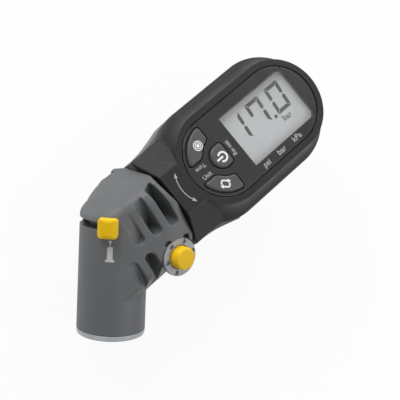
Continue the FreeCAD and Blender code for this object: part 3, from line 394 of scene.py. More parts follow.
def swept(name: str, rows: Array, place: Place, capped: bool, smooth_below: float) -> bpy.types.Object:
    """Joins rows of points, each closed on itself, into one closed surface.

    Args:
        name: The piece's name.
        rows: Points in millimetres of the place, by row and place in the row.
        place: Frame that the points are in.
        capped: Whether the first and the last row are closed with a face. Otherwise they meet in a point,
            or in each other.
        smooth_below: Faces that meet at less than this angle, in degrees, shade as one surface.

    Returns:
        The piece.
    """
    count, around = rows.shape[:2]
    row, column = np.meshgrid(np.arange(count - 1), np.arange(around), indexing="ij")
    across = (column + 1) % around
    faces = np.stack([row * around + column, row * around + across,
                      (row + 1) * around + across, (row + 1) * around + column], -1).reshape(-1, 4).tolist()
    if capped:
        last = (count - 1) * around
        faces += [list(range(around))[::-1], list(range(last, last + around))]
    piece = mesh_of(name, rows.reshape(-1, 3), faces, place)
    with edited(piece.data) as work:
        bmesh.ops.remove_doubles(work, verts=work.verts, dist=1e-6)
        bmesh.ops.dissolve_degenerate(work, edges=work.edges, dist=1e-7)
        bmesh.ops.recalc_face_normals(work, faces=work.faces)
    piece.data.polygons.foreach_set("use_smooth", np.ones(len(piece.data.polygons), bool))
    piece.data.set_sharp_from_angle(angle=math.radians(smooth_below))
    return piece


def turned(name: str, profile: Sequence[Spot], place: Place, smooth_below: float) -> bpy.types.Object:
    """Turns a profile about the place's Z axis.

    A point at (radius, height) goes to the radius times the cosine and the sine of the turning angle.

    Args:
        name: The piece's name.
        profile: Radii and heights in millimetres, from the bottom at the axis outwards and up to the top.
        place: Frame whose Z axis is the turning axis.
        smooth_below: Faces that meet at less than this angle, in degrees, shade as one surface.

    Returns:
        The piece.
    """
    around = 128
    line = np.array(profile, float)
    angle = 2 * np.pi * np.arange(around) / around
    rows = np.stack([line[:, None, 0] * np.cos(angle), line[:, None, 0] * np.sin(angle),
                     np.broadcast_to(line[:, None, 1], (len(line), around))], -1)
    return swept(name, rows, place, False, smooth_below)


def rounded_profile(corners: Sequence[Point], steps: int) -> list[Spot]:
    """Rounds the corners of a profile with arcs.

    Args:
        corners: Radius, height and rounding of each corner.
        steps: Steps on each arc.

    Returns:
        The profile's points.
    """
    line = []
    for index, (r, z, rounding) in enumerate(corners):
        if rounding <= 0 or index in (0, len(corners) - 1):
            line.append((r, z))
            continue
        here = np.array((r, z))
        back = np.array(corners[index - 1][:2]) - here
        ahead = np.array(corners[index + 1][:2]) - here
        back /= np.linalg.norm(back)
        ahead /= np.linalg.norm(ahead)
        half = math.acos(float(np.clip(back @ ahead, -1, 1))) / 2
        start = here + back * rounding / math.tan(half)
        middle = here + (back + ahead) / np.linalg.norm(back + ahead) * rounding / math.sin(half)
        side = 1 if back[0] * ahead[1] - back[1] * ahead[0] < 0 else -1
        angle = side * (math.pi - 2 * half) * np.arange(steps + 1) / steps
        first = start - middle
        arc = np.stack([first[0] * np.cos(angle) - first[1] * np.sin(angle),
                        first[0] * np.sin(angle) + first[1] * np.cos(angle)], 1)
        line += [tuple(spot) for spot in middle + arc]
    return line


# Shader tools

class Nodes:
    """Adds nodes to one node tree and links them."""

    def __init__(self, tree: bpy.types.NodeTree) -> None:
        """Keeps the tree."""
        self.tree = tree

    def feed(self, node: bpy.types.Node, inputs: dict) -> None:
        """Sets or links a node's inputs.

        Args:
            node: The node.
            inputs: Values, or sockets to link from, by the input's name or number.
        """
        for name, value in inputs.items():
            if isinstance(value, bpy.types.NodeSocket):
                self.tree.links.new(value, node.inputs[name])
            else:
                node.inputs[name].default_value = value

    def add(self, kind: str, inputs: dict | None = None, **settings) -> bpy.types.Node:
        """Adds a node.

        Args:
            kind: Its type.
            inputs: Values, or sockets to link from, by the input's name or number.
            settings: Properties of the node.

        Returns:
            The node.
        """
        node = self.tree.nodes.new(kind)
        for name, value in settings.items():
            setattr(node, name, value)
        self.feed(node, inputs or {})
        return node

    def where(self) -> bpy.types.NodeSocket:
        """Adds object coordinates, in metres."""
        return self.add("ShaderNodeTexCoord").outputs["Object"]

    def math(self, operation: str, first: Value, second: Value = 0.0) -> bpy.types.NodeSocket:
        """Adds a Math node and gives its result."""
        return self.add("ShaderNodeMath", {0: first, 1: second}, operation=operation).outputs[0]

    def mix(self, share: Value, first: Tint, second: Tint) -> bpy.types.NodeSocket:
        """Mixes two colours by a share and gives the result."""
        return self.add("ShaderNodeMix", {0: share, 6: first, 7: second}, data_type="RGBA").outputs[2]

    def noise(self, where: bpy.types.NodeSocket, scale: Value, detail: float, roughness: float = 0.5,
              distortion: float = 0.0) -> bpy.types.NodeSocket:
        """Adds a Noise texture.

        Args:
            where: Socket of the place.
            scale: Grains per metre.
            detail: Number of finer layers.
            roughness: Share of each finer layer.
            distortion: How much the grains are bent.

        Returns:
            The socket of its value.
        """
        inputs = {"Vector": where, "Scale": scale, "Detail": detail, "Roughness": roughness,
                  "Distortion": distortion}
        return self.add("ShaderNodeTexNoise", inputs).outputs["Fac"]

    def span(self, value: Value, low: Value, high: Value, to_low: float = 0.0, to_high: float = 1.0
             ) -> bpy.types.NodeSocket:
        """Maps a value from one span to another and clamps it."""
        return self.add("ShaderNodeMapRange", {"Value": value, "From Min": low, "From Max": high,
                                               "To Min": to_low, "To Max": to_high}).outputs["Result"]

    def bump(self, height: bpy.types.NodeSocket, depth: float) -> bpy.types.NodeSocket:
        """Adds a Bump node for a height of the given depth in metres and gives its normal."""
        return self.add("ShaderNodeBump", {"Height": height, "Strength": 1.0, "Distance": depth}).outputs[0]

    def group(self, name: "GroupName", first: float | None = None) -> bpy.types.Node:
        """Places one of the shared groups.

        Args:
            name: The group's name.
            first: Value of its first input, or None for the group's own.

        Returns:
            The group's node.
        """
        return self.add("ShaderNodeGroup", None if first is None else {0: first},
                        node_tree=bpy.data.node_groups[name.value])


class GroupName(Enum):
    """The shader groups that several finishes share."""

    GRAIN = "moulded_grain"
    HANDLING = "handling_marks"
    WEAR = "edge_wear"
    BLASTING = "metal_blasting"


class SharedGroups:
    """The shader groups, built once before the finishes. Scales are in grains per metre."""

    def build(self) -> None:
        """Builds all the groups."""
        self.grain()
        self.handling()
        self.wear()
        self.blasting()

    @staticmethod
    def start(name: GroupName, inputs: dict[str, float], outputs: Sequence[str]) -> tuple:
        """Starts a shader group with number sockets.

        Args:
            name: The group's name.
            inputs: Default value of each input.
            outputs: Names of the outputs.

        Returns:
            A Nodes helper for the group, its input sockets and its output node.
        """
        tree = bpy.data.node_groups.new(name.value, "ShaderNodeTree")
        for label, value in inputs.items():
            socket = tree.interface.new_socket(label, in_out="INPUT", socket_type="NodeSocketFloat")
            socket.default_value = value
        for label in outputs:
            tree.interface.new_socket(label, in_out="OUTPUT", socket_type="NodeSocketFloat")
        return Nodes(tree), tree.nodes.new("NodeGroupInput").outputs, tree.nodes.new("NodeGroupOutput")

    def grain(self) -> None:
        """Spark-eroded mould grain: fine pits over a coarser orange peel, and a slow drift of tone."""
        nodes, given, out = self.start(GroupName.GRAIN, {"Grain per metre": 4200.0, "Peel share": 0.35},
                                       ("Height", "Tone"))
        where = nodes.where()
        peel_scale = nodes.math("MULTIPLY", given[0], 0.22)
        peel = nodes.add("ShaderNodeTexVoronoi", {"Vector": where, "Scale": peel_scale}, feature="SMOOTH_F1")
        share = nodes.math("MULTIPLY", peel.outputs["Distance"], given[1])
        nodes.feed(out, {"Height": nodes.math("ADD", nodes.noise(where, given[0], 3.0), share),
                         "Tone": nodes.span(nodes.noise(where, 38.0, 3.0), 0.3, 0.7)})

    def handling(self) -> None:
        """Where hands have polished or dulled a surface: soft patches with fine speckle at their edges."""
        nodes, given, out = self.start(GroupName.HANDLING, {"Patches per metre": 60.0}, ("Mask",))
        patch = nodes.noise(nodes.where(), given[0], 5.0, 0.62, 0.4)
        nodes.feed(out, {"Mask": nodes.span(patch, 0.42, 0.68)})

    def wear(self) -> None:
        """Paler, smoother outer edges, from how sharply the surface bends, broken up by noise."""
        nodes, given, out = self.start(GroupName.WEAR, {"Start": 0.52, "End": 0.62}, ("Mask",))
        bend = nodes.add("ShaderNodeNewGeometry").outputs["Pointiness"]
        broken = nodes.span(nodes.noise(nodes.where(), 900.0, 4.0), 0.3, 0.6, 0.35, 1.0)
        nodes.feed(out, {"Mask": nodes.math("MULTIPLY", nodes.span(bend, given[0], given[1]), broken)})

    def blasting(self) -> None:
        """Fine pits of a blasted metal surface, and a drift of its tone."""
        nodes, given, out = self.start(GroupName.BLASTING, {"Pits per metre": 5200.0}, ("Height", "Tone"))
        where = nodes.where()
        nodes.feed(out, {"Height": nodes.noise(where, given[0], 4.0, 0.7),
                         "Tone": nodes.span(nodes.noise(where, 120.0, 3.0), 0.35, 0.65)})


# Finishes

def grey(value: float, warm: float = 0.0) -> Colour:
    """A near-neutral colour: warm adds to red and takes from blue."""
    return (value * (1 + warm), value, value * (1 - warm), 1.0)


def scaled(colour: Colour, share: float) -> Colour:
    """A colour made lighter or darker by a share, up to white."""
    return tuple(min(1.0, part * share) for part in colour[:3]) + (1.0,)


@dataclass(frozen=True)
class Finish:
    """A node-based finish, whose material is built once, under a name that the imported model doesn't use."""

    name: str
    colour: Colour

    def material(self) -> bpy.types.Material:
        """Builds the material.

        Returns:
            The material, or the one built before.
        """
        found = bpy.data.materials.get(self.name + "_finish")
        if found:
            return found
        made = bpy.data.materials.new(self.name + "_finish")
        made.use_nodes = True
        made.diffuse_color = self.colour
        self.paint(made, Nodes(made.node_tree), made.node_tree.nodes["Principled BSDF"])
        return made

    def paint(self, made: bpy.types.Material, nodes: Nodes, shader: bpy.types.Node) -> None:
        """Sets up the material.

        Args:
            made: The material.
            nodes: Helper for its node tree.
            shader: Its Principled BSDF.
        """
        raise NotImplementedError


@dataclass(frozen=True)
class Moulding(Finish):
    """A moulded plastic or rubber finish with grain, a drift of tone, handling marks and worn edges."""

    roughness: float = 0.5
    grain: float = 4200.0
    depth: float = 0.00001
    drift: float = 0.06
    worn: float = 0.25
    sheen: float = 0.0
    coat: float = 0.0
    gloss: float = 0.5
    paleness: float = 0.18
    dulled: float = 0.04
    polished: float = 0.07
    edge_polish: float = 0.15

    def paint(self, made: bpy.types.Material, nodes: Nodes, shader: bpy.types.Node) -> None:
        """Mixes the tone, the worn edges and the handling marks into colour and roughness.

        Args:
            made: The material.
            nodes: Helper for its node tree.
            shader: Its Principled BSDF.
        """
        grain = nodes.group(GroupName.GRAIN, self.grain).outputs
        handling = nodes.group(GroupName.HANDLING).outputs["Mask"]
        edge = nodes.math("MULTIPLY", nodes.group(GroupName.WEAR).outputs["Mask"], self.worn)
        dark, light = scaled(self.colour, 1 - self.drift), scaled(self.colour, 1 + self.drift)
        pale = tuple(part + (1 - part) * self.paleness for part in self.colour[:3]) + (1.0,)
        rough = nodes.span(handling, 0, 1, self.roughness + self.dulled, self.roughness - self.polished)
        nodes.feed(shader, {
            "Base Color": nodes.mix(edge, nodes.mix(grain["Tone"], dark, light), pale),
            "Roughness": nodes.math("SUBTRACT", rough, nodes.math("MULTIPLY", edge, self.edge_polish)),
            "Normal": nodes.bump(grain["Height"], self.depth), "Specular IOR Level": self.gloss,
            "Coat Weight": self.coat, "Coat Roughness": 0.12, "Sheen Weight": self.sheen})


@dataclass(frozen=True)
class Metal(Finish):
    """A metal finish with fine blasting."""

    roughness: float = 0.35
    metallic: float = 1.0
    depth: float = 0.000006
    pits: float = 5200.0
    uneven: float = 0.05

    def paint(self, made: bpy.types.Material, nodes: Nodes, shader: bpy.types.Node) -> None:
        """Lets colour and roughness drift over the blasted surface.

        Args:
            made: The material.
            nodes: Helper for its node tree.
            shader: Its Principled BSDF.
        """
        blasting = nodes.group(GroupName.BLASTING, self.pits).outputs
        rough = nodes.span(blasting["Tone"], 0, 1, self.roughness + self.uneven, self.roughness - self.uneven)
        nodes.feed(shader, {
            "Base Color": nodes.mix(blasting["Tone"], scaled(self.colour, 0.9), self.colour),
            "Roughness": rough, "Normal": nodes.bump(blasting["Height"], self.depth),
            "Metallic": self.metallic})


@dataclass(frozen=True)
class ClearWindow(Finish):
    """Clear acrylic with faint surface waves and smears."""

    roughness: float = 0.06
    wave: float = 0.000004

    def paint(self, made: bpy.types.Material, nodes: Nodes, shader: bpy.types.Node) -> None:
        """Makes the pane nearly see-through, with smears that are less so.

        Args:
            made: The material.
            nodes: Helper for its node tree.
            shader: Its Principled BSDF.
        """
        where = nodes.where()
        nodes.feed(shader, {
            "Base Color": self.colour, "Roughness": self.roughness,
            "Alpha": nodes.span(nodes.noise(where, 160.0, 4.0), 0.45, 0.75, 0.05, 0.11),
            "Normal": nodes.bump(nodes.noise(where, 70.0, 1.0), self.wave)})
        made.surface_render_method = "BLENDED"


def inked(name: str, colour: Colour, roughness: float, depth: float, drift: float = 0.03) -> Moulding:
    """A smooth printed or laminated finish.

    Args:
        name: Its name.
        colour: Its colour.
        roughness: Its roughness.
        depth: Depth of its grain in metres.
        drift: How much its tone drifts.

    Returns:
        The finish.
    """
    return Moulding(name, colour, roughness, 9000.0, depth, drift, worn=0.0)


BLACK_CASING = Moulding("black_casing", grey(0.016, -0.05), 0.4, depth=0.000008, worn=0.12, gloss=0.24)
GREY_HEAD = Moulding("grey_head", grey(0.122, -0.05), 0.52, depth=0.000012, worn=0.05)
GREY_COVER = Moulding("grey_cover", grey(0.132, -0.05), 0.52, depth=0.000012, worn=0.1)
KEY_RUBBER = Moulding("key_rubber", grey(0.05, -0.03), 0.45, 5200.0, 0.000006, sheen=0.1)
YELLOW = Moulding("warm_yellow", (1.0, 0.6, 0.004, 1), 0.4, 5200.0, 0.000003, 0.03, 0.05, gloss=0.3)
LENS_PRINT = Moulding("lens_back_print", grey(0.01, -0.04), 0.22, 5200.0, 0.000002, 0.03, 0.05)
LIGHT_FRAME = Moulding("light_frame", grey(0.2, -0.02), 0.5, depth=0.000004)
PANEL = inked("reflective_display", grey(0.52, -0.02), 0.42, 0.000002)
DIGIT_INK = inked("display_segment", grey(0.035), 0.5, 0.000001)
WHITE_MARK = inked("white_print", grey(0.86), 0.5, 0.000002, 0.02)
GREY_MARK = inked("silver_print", grey(0.41, -0.02), 0.45, 0.000002)
ARROW_PRINT = inked("arrow_print", grey(0.4, -0.02), 0.45, 0.000002)
PALE_PRINT = inked("pale_print", grey(0.62, -0.01), 0.45, 0.000002)
SEAL = Moulding("seal_rubber", grey(0.02), 0.6, depth=0.000006)
HOSE = Moulding("hose_rubber", grey(0.045), 0.65, depth=0.00001)
ACETAL = Moulding("white_acetal", grey(0.7, 0.01), 0.45, depth=0.000004)
BLACK_ACETAL = Moulding("black_acetal", grey(0.025), 0.4, depth=0.000004)
CARBON_RUBBER = Moulding("layered_rubber", grey(0.22), 0.6, depth=0.000006)
BOARD = Moulding("circuit_board_green", (0.012, 0.12, 0.05, 1), 0.35, 5000.0, 0.000004, coat=0.3)
ALUMINIUM = Metal("blasted_aluminium", grey(0.62, -0.01), 0.42, 0.85)
STEEL = Metal("bright_steel", grey(0.56), 0.3)
SPRING_STEEL = Metal("spring_wire", grey(0.48), 0.28)
BRASS = Metal("turned_brass", (0.72, 0.5, 0.22, 1), 0.3)
COLLAR = Metal("anodised_collar", (0.31, 0.32, 0.34, 1), 0.5, 0.35)
CAP_METAL = Metal("satin_cap", (0.5, 0.52, 0.54, 1), 0.42, 0.2, 0.000001)
CLEAR = ClearWindow("clear_acrylic", (0.5, 0.52, 0.53, 1))

NODE_FINISH = {"selector_ring": BLACK_ACETAL}
SLOT_FINISH = {
    "black_casing": BLACK_CASING, "grey_cover": GREY_COVER, "grey_head": GREY_HEAD, "lens": LENS_PRINT,
    "panel": PANEL, "light_frame": LIGHT_FRAME, "conductive_rubber": CARBON_RUBBER, "board": BOARD,
    "key_rubber": KEY_RUBBER, "steel": STEEL, "spring_steel": SPRING_STEEL, "brass": BRASS,
    "aluminium": ALUMINIUM, "white_plastic": ACETAL, "yellow_plastic": YELLOW, "seal_rubber": SEAL,
    "hose_rubber": HOSE,
}


def dress(piece: bpy.types.Object, finish: Finish, body: str, slot: str, *stands_for: str) -> None:
    """Gives a new piece its finish and body, and hides the nodes that it stands for.

    Args:
        piece: The piece.
        finish: Its finish.
        body: CAD body that it rides on.
        slot: The record's material slot. Not used.
        stands_for: CAD nodes that it replaces.
    """
    piece.data.materials.clear()
    piece.data.materials.append(finish.material())
    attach(piece, body)
    if stands_for:
        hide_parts(*stands_for)
    LOG.info("%s rides on %s, %d faces", piece.name, body, len(piece.data.polygons))


def dress_nodes() -> None:
    """Gives every CAD node the finish of its slot."""
    for row in frame["record"]["subparts"]:
        node = frame["nodes"][row["node"]]
        finish = NODE_FINISH.get(row["node"], SLOT_FINISH[row["material_slot"]])
        node.data.materials.clear()
        node.data.materials.append(finish.material())
        node.data.polygons.foreach_set("material_index", np.zeros(len(node.data.polygons), np.int32))
    LOG.info("%d nodes dressed", len(frame["nodes"]))


# The head

@dataclass
class HeadShell:
    """The grey head: an eight-sided barrel whose flanks close in on a round chuck, under a hood.

    The barrel's distances are stated in the head's frame, X along the gauge towards its far end.
    """

    flat_half: float = 20.8
    crest_half: float = 11.75
    edge: float = 0.7
    rim_reach: float = 24.0
    rim_bevel: float = 1.7
    rim_run: float = 2.2
    rim_edge: float = 0.3
    hood_height: float = 18.1
    hood_tilt: float = 2.6
    hood_round: float = 4.6
    soft_span: Spot = (-9.0, 4.0)
    nose_span: Spot = (4.5, 11.0)
    nose_share: float = 0.75
    chuck_half: float = 13.45
    mouth_half: float = 13.7
    chuck_length: float = 33.5
    column_edge: float = 0.5
    column_gap: float = 3.0
    seam: float = 0.15
    flank_start: float = 66.0
    flank_edge: float = 1.6
    groove_half: float = 2.05
    groove_pitch: float = 7.2
    groove_first: float = 18.3
    groove_core: float = 13.6
    groove_web: float = 9.3
    groove_edge: float = 0.8
    upper_grooves: tuple = (0, 1, 2)
    upper_end: float = 3.8
    lower_grooves: tuple = (2, 3)
    lower_end: float = -4.9
    lip: float = 0.55
    slot_top: float = 11.7
    slot_height: float = 2.8
    slot_half: float = 58.3
    slot_corner: float = 0.5
    slot_lip: float = 0.35
    slot_inside: float = 1.0
    # Black sheet of painted shade on the slot's lower face: its thickness, its gap to the slot's faces and how
    # far short of the slot's ends it stops.
    shade_sheet_thick: float = 0.15
    shade_sheet_gap: float = 0.05
    shade_sheet_ends: float = 0.8
    bleed_face: float = 19.9
    collar_half: float = 7.8
    collar_gap: float = 0.12
    collar_thick: float = 1.9
    collar_seat: float = 5.8
    collar_inner: float = 7.0
    scallop_reach: float = 8.2
    scallop_half: float = 1.5
    scallop_deep: float = 1.6
    washer_recess: float = 1.1
    socket_half: float = 12.2
    spindle_bore: float = 6.55
    chamber_half: float = 8.6
    chamber_span: Spot = (2.0, 17.5)
    core_bore: float = 9.6
    core_top: float = 12.2
    skirt_bore: float = 10.6
    skirt_start: float = 29.3
    low: Point = (-44.0, -23.0, -40.0)
    high: Point = (26.0, 23.0, 22.0)
    cell: float = 0.42

    def trunk(self, x: Array, y: Array, z: Array) -> Array:
        """Works out the barrel: eight planes that draw in near the rim.

        Args:
            x: Along the gauge.
            y: Sideways.
            z: Upwards.

        Returns:
            Distance to the barrel, still without the hood's plane.
        """
        draw_in = np.maximum(x - (self.rim_reach - self.rim_run), 0)
        bevel = self.rim_bevel / self.rim_run * draw_in
        upper = (self.flat_half + self.crest_half) / math.sqrt(2)
        upper_bevel = (upper - self.flat_half + self.rim_bevel) / self.rim_run * draw_in
        side = np.abs(y) - self.flat_half + bevel
        base = -z - self.flat_half + bevel
        low_facet = (np.abs(y) - z) / math.sqrt(2) - self.flat_half + bevel
        high_facet = (np.abs(y) + z) / math.sqrt(2) - upper + upper_bevel
        shape = both(both(side, low_facet, self.edge), both(base, high_facet, self.edge), self.edge)
        return both(shape, x - self.rim_reach, self.rim_edge)

    def hood(self, x: Array, z: Array) -> Array:
        """Distance to what lies under the hood's tilted plane."""
        tilt = math.radians(self.hood_tilt)
        return (z - self.hood_height) * math.cos(tilt) - x * math.sin(tilt)

    def softness(self, out: Array) -> Array:
        """Rounding of the hood's edge: crisp over the barrel, broad at the chuck, less broad at the nose."""
        rise = (self.hood_round - self.edge) * smooth_step(out, *self.soft_span)
        return self.edge + rise * (1 - self.nose_share * smooth_step(out, *self.nose_span))

    def in_chuck(self, x: Array, z: Array) -> tuple[Array, Array]:
        """Takes head coordinates to the chuck's frame: away from the gauge, and down the chuck."""
        c, s = math.cos(CHUCK_ANGLE), math.sin(CHUCK_ANGLE)
        return -s * x - c * z, c * x - s * z

    def flank(self, out: Array, y: Array) -> Array:
        """Works out the two flanks that close in on the chuck, each a plane that touches it.

        Args:
            out: Away from the gauge, square to the chuck.
            y: Sideways.

        Returns:
            Distance to what lies between the flanks.
        """
        turn = math.radians(self.flank_start)
        plane = out * math.cos(turn) + np.abs(y) * math.sin(turn) - self.chuck_half
        return np.maximum(plane, out - self.chuck_half * math.cos(turn))

    def distance(self, x: Array, y: Array, z: Array) -> Array:
        """Works out the whole shell.

        Args:
            x: Along the gauge.
            y: Sideways.
            z: Upwards.

        Returns:
            Distance to the shell.
        """
        out, down = self.in_chuck(x, z)
        around = radial(out, y)
        trunk = both(self.trunk(x, y, z), self.flank(out, y), self.flank_edge)
        flare = (self.mouth_half - self.chuck_half) / (self.chuck_length + self.slot_top)
        column = around - self.chuck_half - flare * np.maximum(down + self.slot_top, 0)
        column = both(column, down - self.chuck_length, self.rim_edge)
        column = both(column, x - self.rim_reach + self.rim_run + self.column_gap, self.column_edge)
        block = both(either(trunk, column, self.seam), self.hood(x, z), self.softness(out))
        block = less(block, self.slot(out, y, down), self.slot_lip)
        block = less(block, self.grooves(x, y, z, around), self.lip)
        block = less(block, self.bleed_seat(x, y, z), self.rim_edge)
        return less(block, self.hollow(x, y, z, down, around))

    def slot(self, out: Array, y: Array, down: Array) -> Array:
        """Works out the slot that the selector's arm moves in, part of a turn round the chuck.

        Args:
            out: Away from the gauge.
            y: Sideways.
            down: Down the chuck.

        Returns:
            Distance to the slot.
        """
        turn = math.radians(self.slot_half)
        ends = np.abs(y) * math.cos(turn) - out * math.sin(turn)
        height = slab(down, -self.slot_top, -self.slot_top + self.slot_height)
        return both(both(height, ends, self.slot_corner), self.core_bore - self.slot_inside - radial(out, y))

    def grooves(self, x: Array, y: Array, z: Array, around: Array) -> Array:
        """Works out the grooves between the ribs: round-ended slots that leave a round core and a web.

        Args:
            x: Along the gauge.
            y: Sideways.
            z: Upwards.
            around: Distance from the chuck's axis.

        Returns:
            Distance to the grooves.
        """
        upper = [radial(x - self.groove_first + step * self.groove_pitch, np.minimum(z - self.upper_end, 0))
                 for step in self.upper_grooves]
        lower = [radial(x - self.groove_first + step * self.groove_pitch, np.maximum(z - self.lower_end, 0))
                 for step in self.lower_grooves]
        plan = any_of(*upper, *lower) - self.groove_half
        return both(both(plan, self.groove_core - around, self.groove_edge), self.groove_web - np.abs(y),
                    self.groove_edge)

    def bleed_seat(self, x: Array, y: Array, z: Array) -> Array:
        """Works out the bleed collar's seat, its bore and the scallops round it.

        Args:
            x: Along the gauge.
            y: Sideways.
            z: Upwards.

        Returns:
            Distance to what is cut away.
        """
        along, across = x - BLEED_X, z - BLEED_Z
        around = radial(along, across)
        seat = both(around - self.collar_half - self.collar_gap, self.bleed_face - self.collar_thick + y)
        bore = both(around - self.collar_seat, self.collar_inner + y)
        scallops = six_about(along, across, self.scallop_reach) - self.scallop_half
        return any_of(seat, bore, both(scallops, self.bleed_face - self.scallop_deep + y))

    def hollow(self, x: Array, y: Array, z: Array, down: Array, around: Array) -> Array:
        """Works out the swivel's socket and the chuck's bore.

        Args:
            x: Along the gauge.
            y: Sideways.
            z: Upwards.
            down: Down the chuck.
            around: Distance from the chuck's axis.

        Returns:
            Distance to the hollows.
        """
        about = radial(y, z)
        recess = both(about - self.socket_half, self.rim_reach - self.washer_recess - x)
        bore = both(about - self.spindle_bore, self.chamber_span[0] - x)
        chamber = both(about - self.chamber_half, slab(x, *self.chamber_span))
        core = both(around - self.core_bore, -self.core_top - down)
        return any_of(recess, bore, chamber, core, both(around - self.skirt_bore, self.skirt_start - down))

    def slot_shade_sheet(self) -> bpy.types.Object:
        """Makes a black sheet of painted shade on the slot's lower face: a flat rectangle carried round the
        chuck's axis.

        Returns:
            The piece.
        """
        turn = math.radians(self.slot_half - self.shade_sheet_ends)
        inner = self.core_bore - self.slot_inside + 2 * self.shade_sheet_gap
        outer = self.chuck_half - self.slot_lip - self.shade_sheet_gap
        floor = -self.slot_top + self.slot_height
        section = np.array([(inner, floor), (inner, floor - self.shade_sheet_thick), (outer, floor - self.shade_sheet_thick),
                            (outer, floor)])
        angle = np.linspace(-turn, turn, 49)
        rows = np.stack([section[:, 0] * np.cos(angle)[:, None], section[:, 0] * np.sin(angle)[:, None],
                         np.broadcast_to(section[:, 1], (len(angle), len(section)))], -1)
        return swept("slot_shade_sheet", rows, CHUCK, True, 30)

    def build(self) -> None:
        """Makes the shell in place of its node, and the black sheet of painted shade in the slot."""
        shell = moulded("head_moulding", MouldedSkin(self.distance, self.low, self.high, self.cell), HEAD)
        dress(shell, GREY_HEAD, "head", "grey_head", "head_shell")
        # The black sheet in the slot is painted shade: it darkens the slot where only shade falls.
        dress(self.slot_shade_sheet(), BLACK_ACETAL, "head", "white_plastic")


# The casing

@dataclass
class Casing:
    """The sizes that the gauge's pieces share, in the gauge's frame."""

    near: float = 52.0
    far: float = 86.8
    face: float = 20.8
    parting: float = 8.616
    half: float = 25.0
    waist_half: float = 19.6
    rim_deep: float = 1.6
    scoop: float = 13.7
    flat_half: float = 20.8
    neck_start: float = 24.3
    end_edge: float = 0.4
    parting_edge: float = 0.25
    wall: float = 2.0
    lens_half: float = 17.0
    lens_top: float = 20.6
    lens_floor: float = 19.3
    screw_spots: tuple = ((46.5, 17.8), (96.0, 16.2))
    boss_half: float = 2.7
    boss_fillet: float = 0.4
    boss_gap: float = 0.02
    spindle_steps: tuple = ((6.5, 22.3, 28.0), (9.0, 27.4, 29.8), (5.0, 29.0, 40.0))

    def oval(self, x: Array, y: Array) -> Array:
        """Distance from the line between the two centres of the oval."""
        return stadium(x, y, self.near, self.far, 0.0)

    def cavity_end(self, x: Array) -> Array:
        """Distance to what lies beyond the cavity's flat near end."""
        return self.near + self.wall - self.half + self.wall - x

    def bosses(self, x: Array, y: Array, half: float) -> Array:
        """Distance to upright cylinders at the four screws."""
        return any_of(*[radial(x - reach, np.abs(y) - side) for reach, side in self.screw_spots]) - half

    def spindle_seat(self, x: Array, y: Array, z: Array) -> Array:
        """Distance to the stepped round seat of the swivel spindle in the neck."""
        return any_of(*[both(radial(y, z) - half, slab(x, start, stop))
                        for half, start, stop in self.spindle_steps])


@dataclass
class FrontCasing(Casing):
    """The black upper shell: rim, hollow flared side and the upper half of the eight-sided neck."""

    rim_half: float = 20.0
    rim_lap: float = 0.55
    rim_edge: float = 0.45
    rim_foot: float = 0.3
    waist_fillet: float = 0.35
    crest: float = 30.1
    crease: float = 0.3
    facet_edge: float = 0.45
    ledge_floor: float = 17.8
    ledge: float = 1.4
    boss_top: float = 12.5
    thread_half: float = 1.2
    thread_roof: float = 1.0
    lens_gap: float = 0.15
    recess_lip: float = 0.25
    low: Point = (23.5, -26.0, 7.9)
    high: Point = (112.6, 26.0, 21.6)
    cell: float = 0.33

    def flare(self, across: Array, z: Array, wall: float) -> Array:
        """Works out the hollow flare of the side, which lies outside a circle.

        The circle passes through the shell's lower edge and its waist, and its centre lies beyond the
        middle of the line between them, square to it.

        Args:
            across: Distance from the oval's middle line.
            z: Upwards.
            wall: How far the surface is moved inwards.

        Returns:
            Distance to the flare.
        """
        low = np.array((self.half, self.parting))
        high = np.array((self.waist_half, self.face - self.rim_deep))
        chord = high - low
        length = np.linalg.norm(chord)
        outward = np.array((chord[1], -chord[0])) / length
        centre = (low + high) / 2 + outward * math.sqrt(self.scoop ** 2 - (length / 2) ** 2)
        circle = self.scoop + wall - radial(across - centre[0], z - centre[1])
        return np.maximum(circle, across - self.half + wall)

    def outside(self, x: Array, y: Array, z: Array) -> Array:
        """Works out the shell's outer shape.

        Args:
            x: Along the gauge.
            y: Sideways.
            z: Upwards.

        Returns:
            Distance to the filled shell.
        """
        across = self.oval(x, y)
        rim = both(across - self.rim_half, self.face - self.rim_deep + self.rim_lap - z, self.rim_foot)
        side = either(self.flare(across, z, 0.0), rim, self.waist_fillet)
        facet = (np.abs(y) + z - self.crest) / math.sqrt(2)
        neck = both(both(np.abs(y) - self.flat_half, facet, self.facet_edge), x - self.near)
        body = both(either(side, neck, self.crease), z - self.face, self.rim_edge)
        return both(both(body, self.neck_start - x, self.end_edge), self.parting - z, self.parting_edge)

    def distance(self, x: Array, y: Array, z: Array) -> Array:
        """Works out the shell.

        Args:
            x: Along the gauge.
            y: Sideways.
            z: Upwards.

        Returns:
            Distance to the shell.
        """
        across = self.oval(x, y)
        cavity = both(both(self.flare(across, z, self.wall), z - self.ledge_floor), self.cavity_end(x))
        opening = both(across - self.lens_half + self.ledge, self.ledge_floor - 1 - z)
        body = less(less(self.outside(x, y, z), cavity), opening)
        boss = both(self.bosses(x, y, self.boss_half), slab(z, self.parting + self.boss_gap, self.boss_top))
        body = either(body, boss, self.boss_fillet)
        body = less(body, both(self.bosses(x, y, self.thread_half), z - self.boss_top + self.thread_roof))
        body = less(body, self.spindle_seat(x, y, z))
        recess = both(across - self.lens_half - self.lens_gap, self.lens_floor - z)
        return less(body, recess, self.recess_lip)

    def build(self) -> None:
        """Makes the shell in place of its node."""
        shell = moulded("front_moulding", MouldedSkin(self.distance, self.low, self.high, self.cell), GAUGE)
        dress(shell, BLACK_CASING, "gauge", "black_casing", "front_casing")


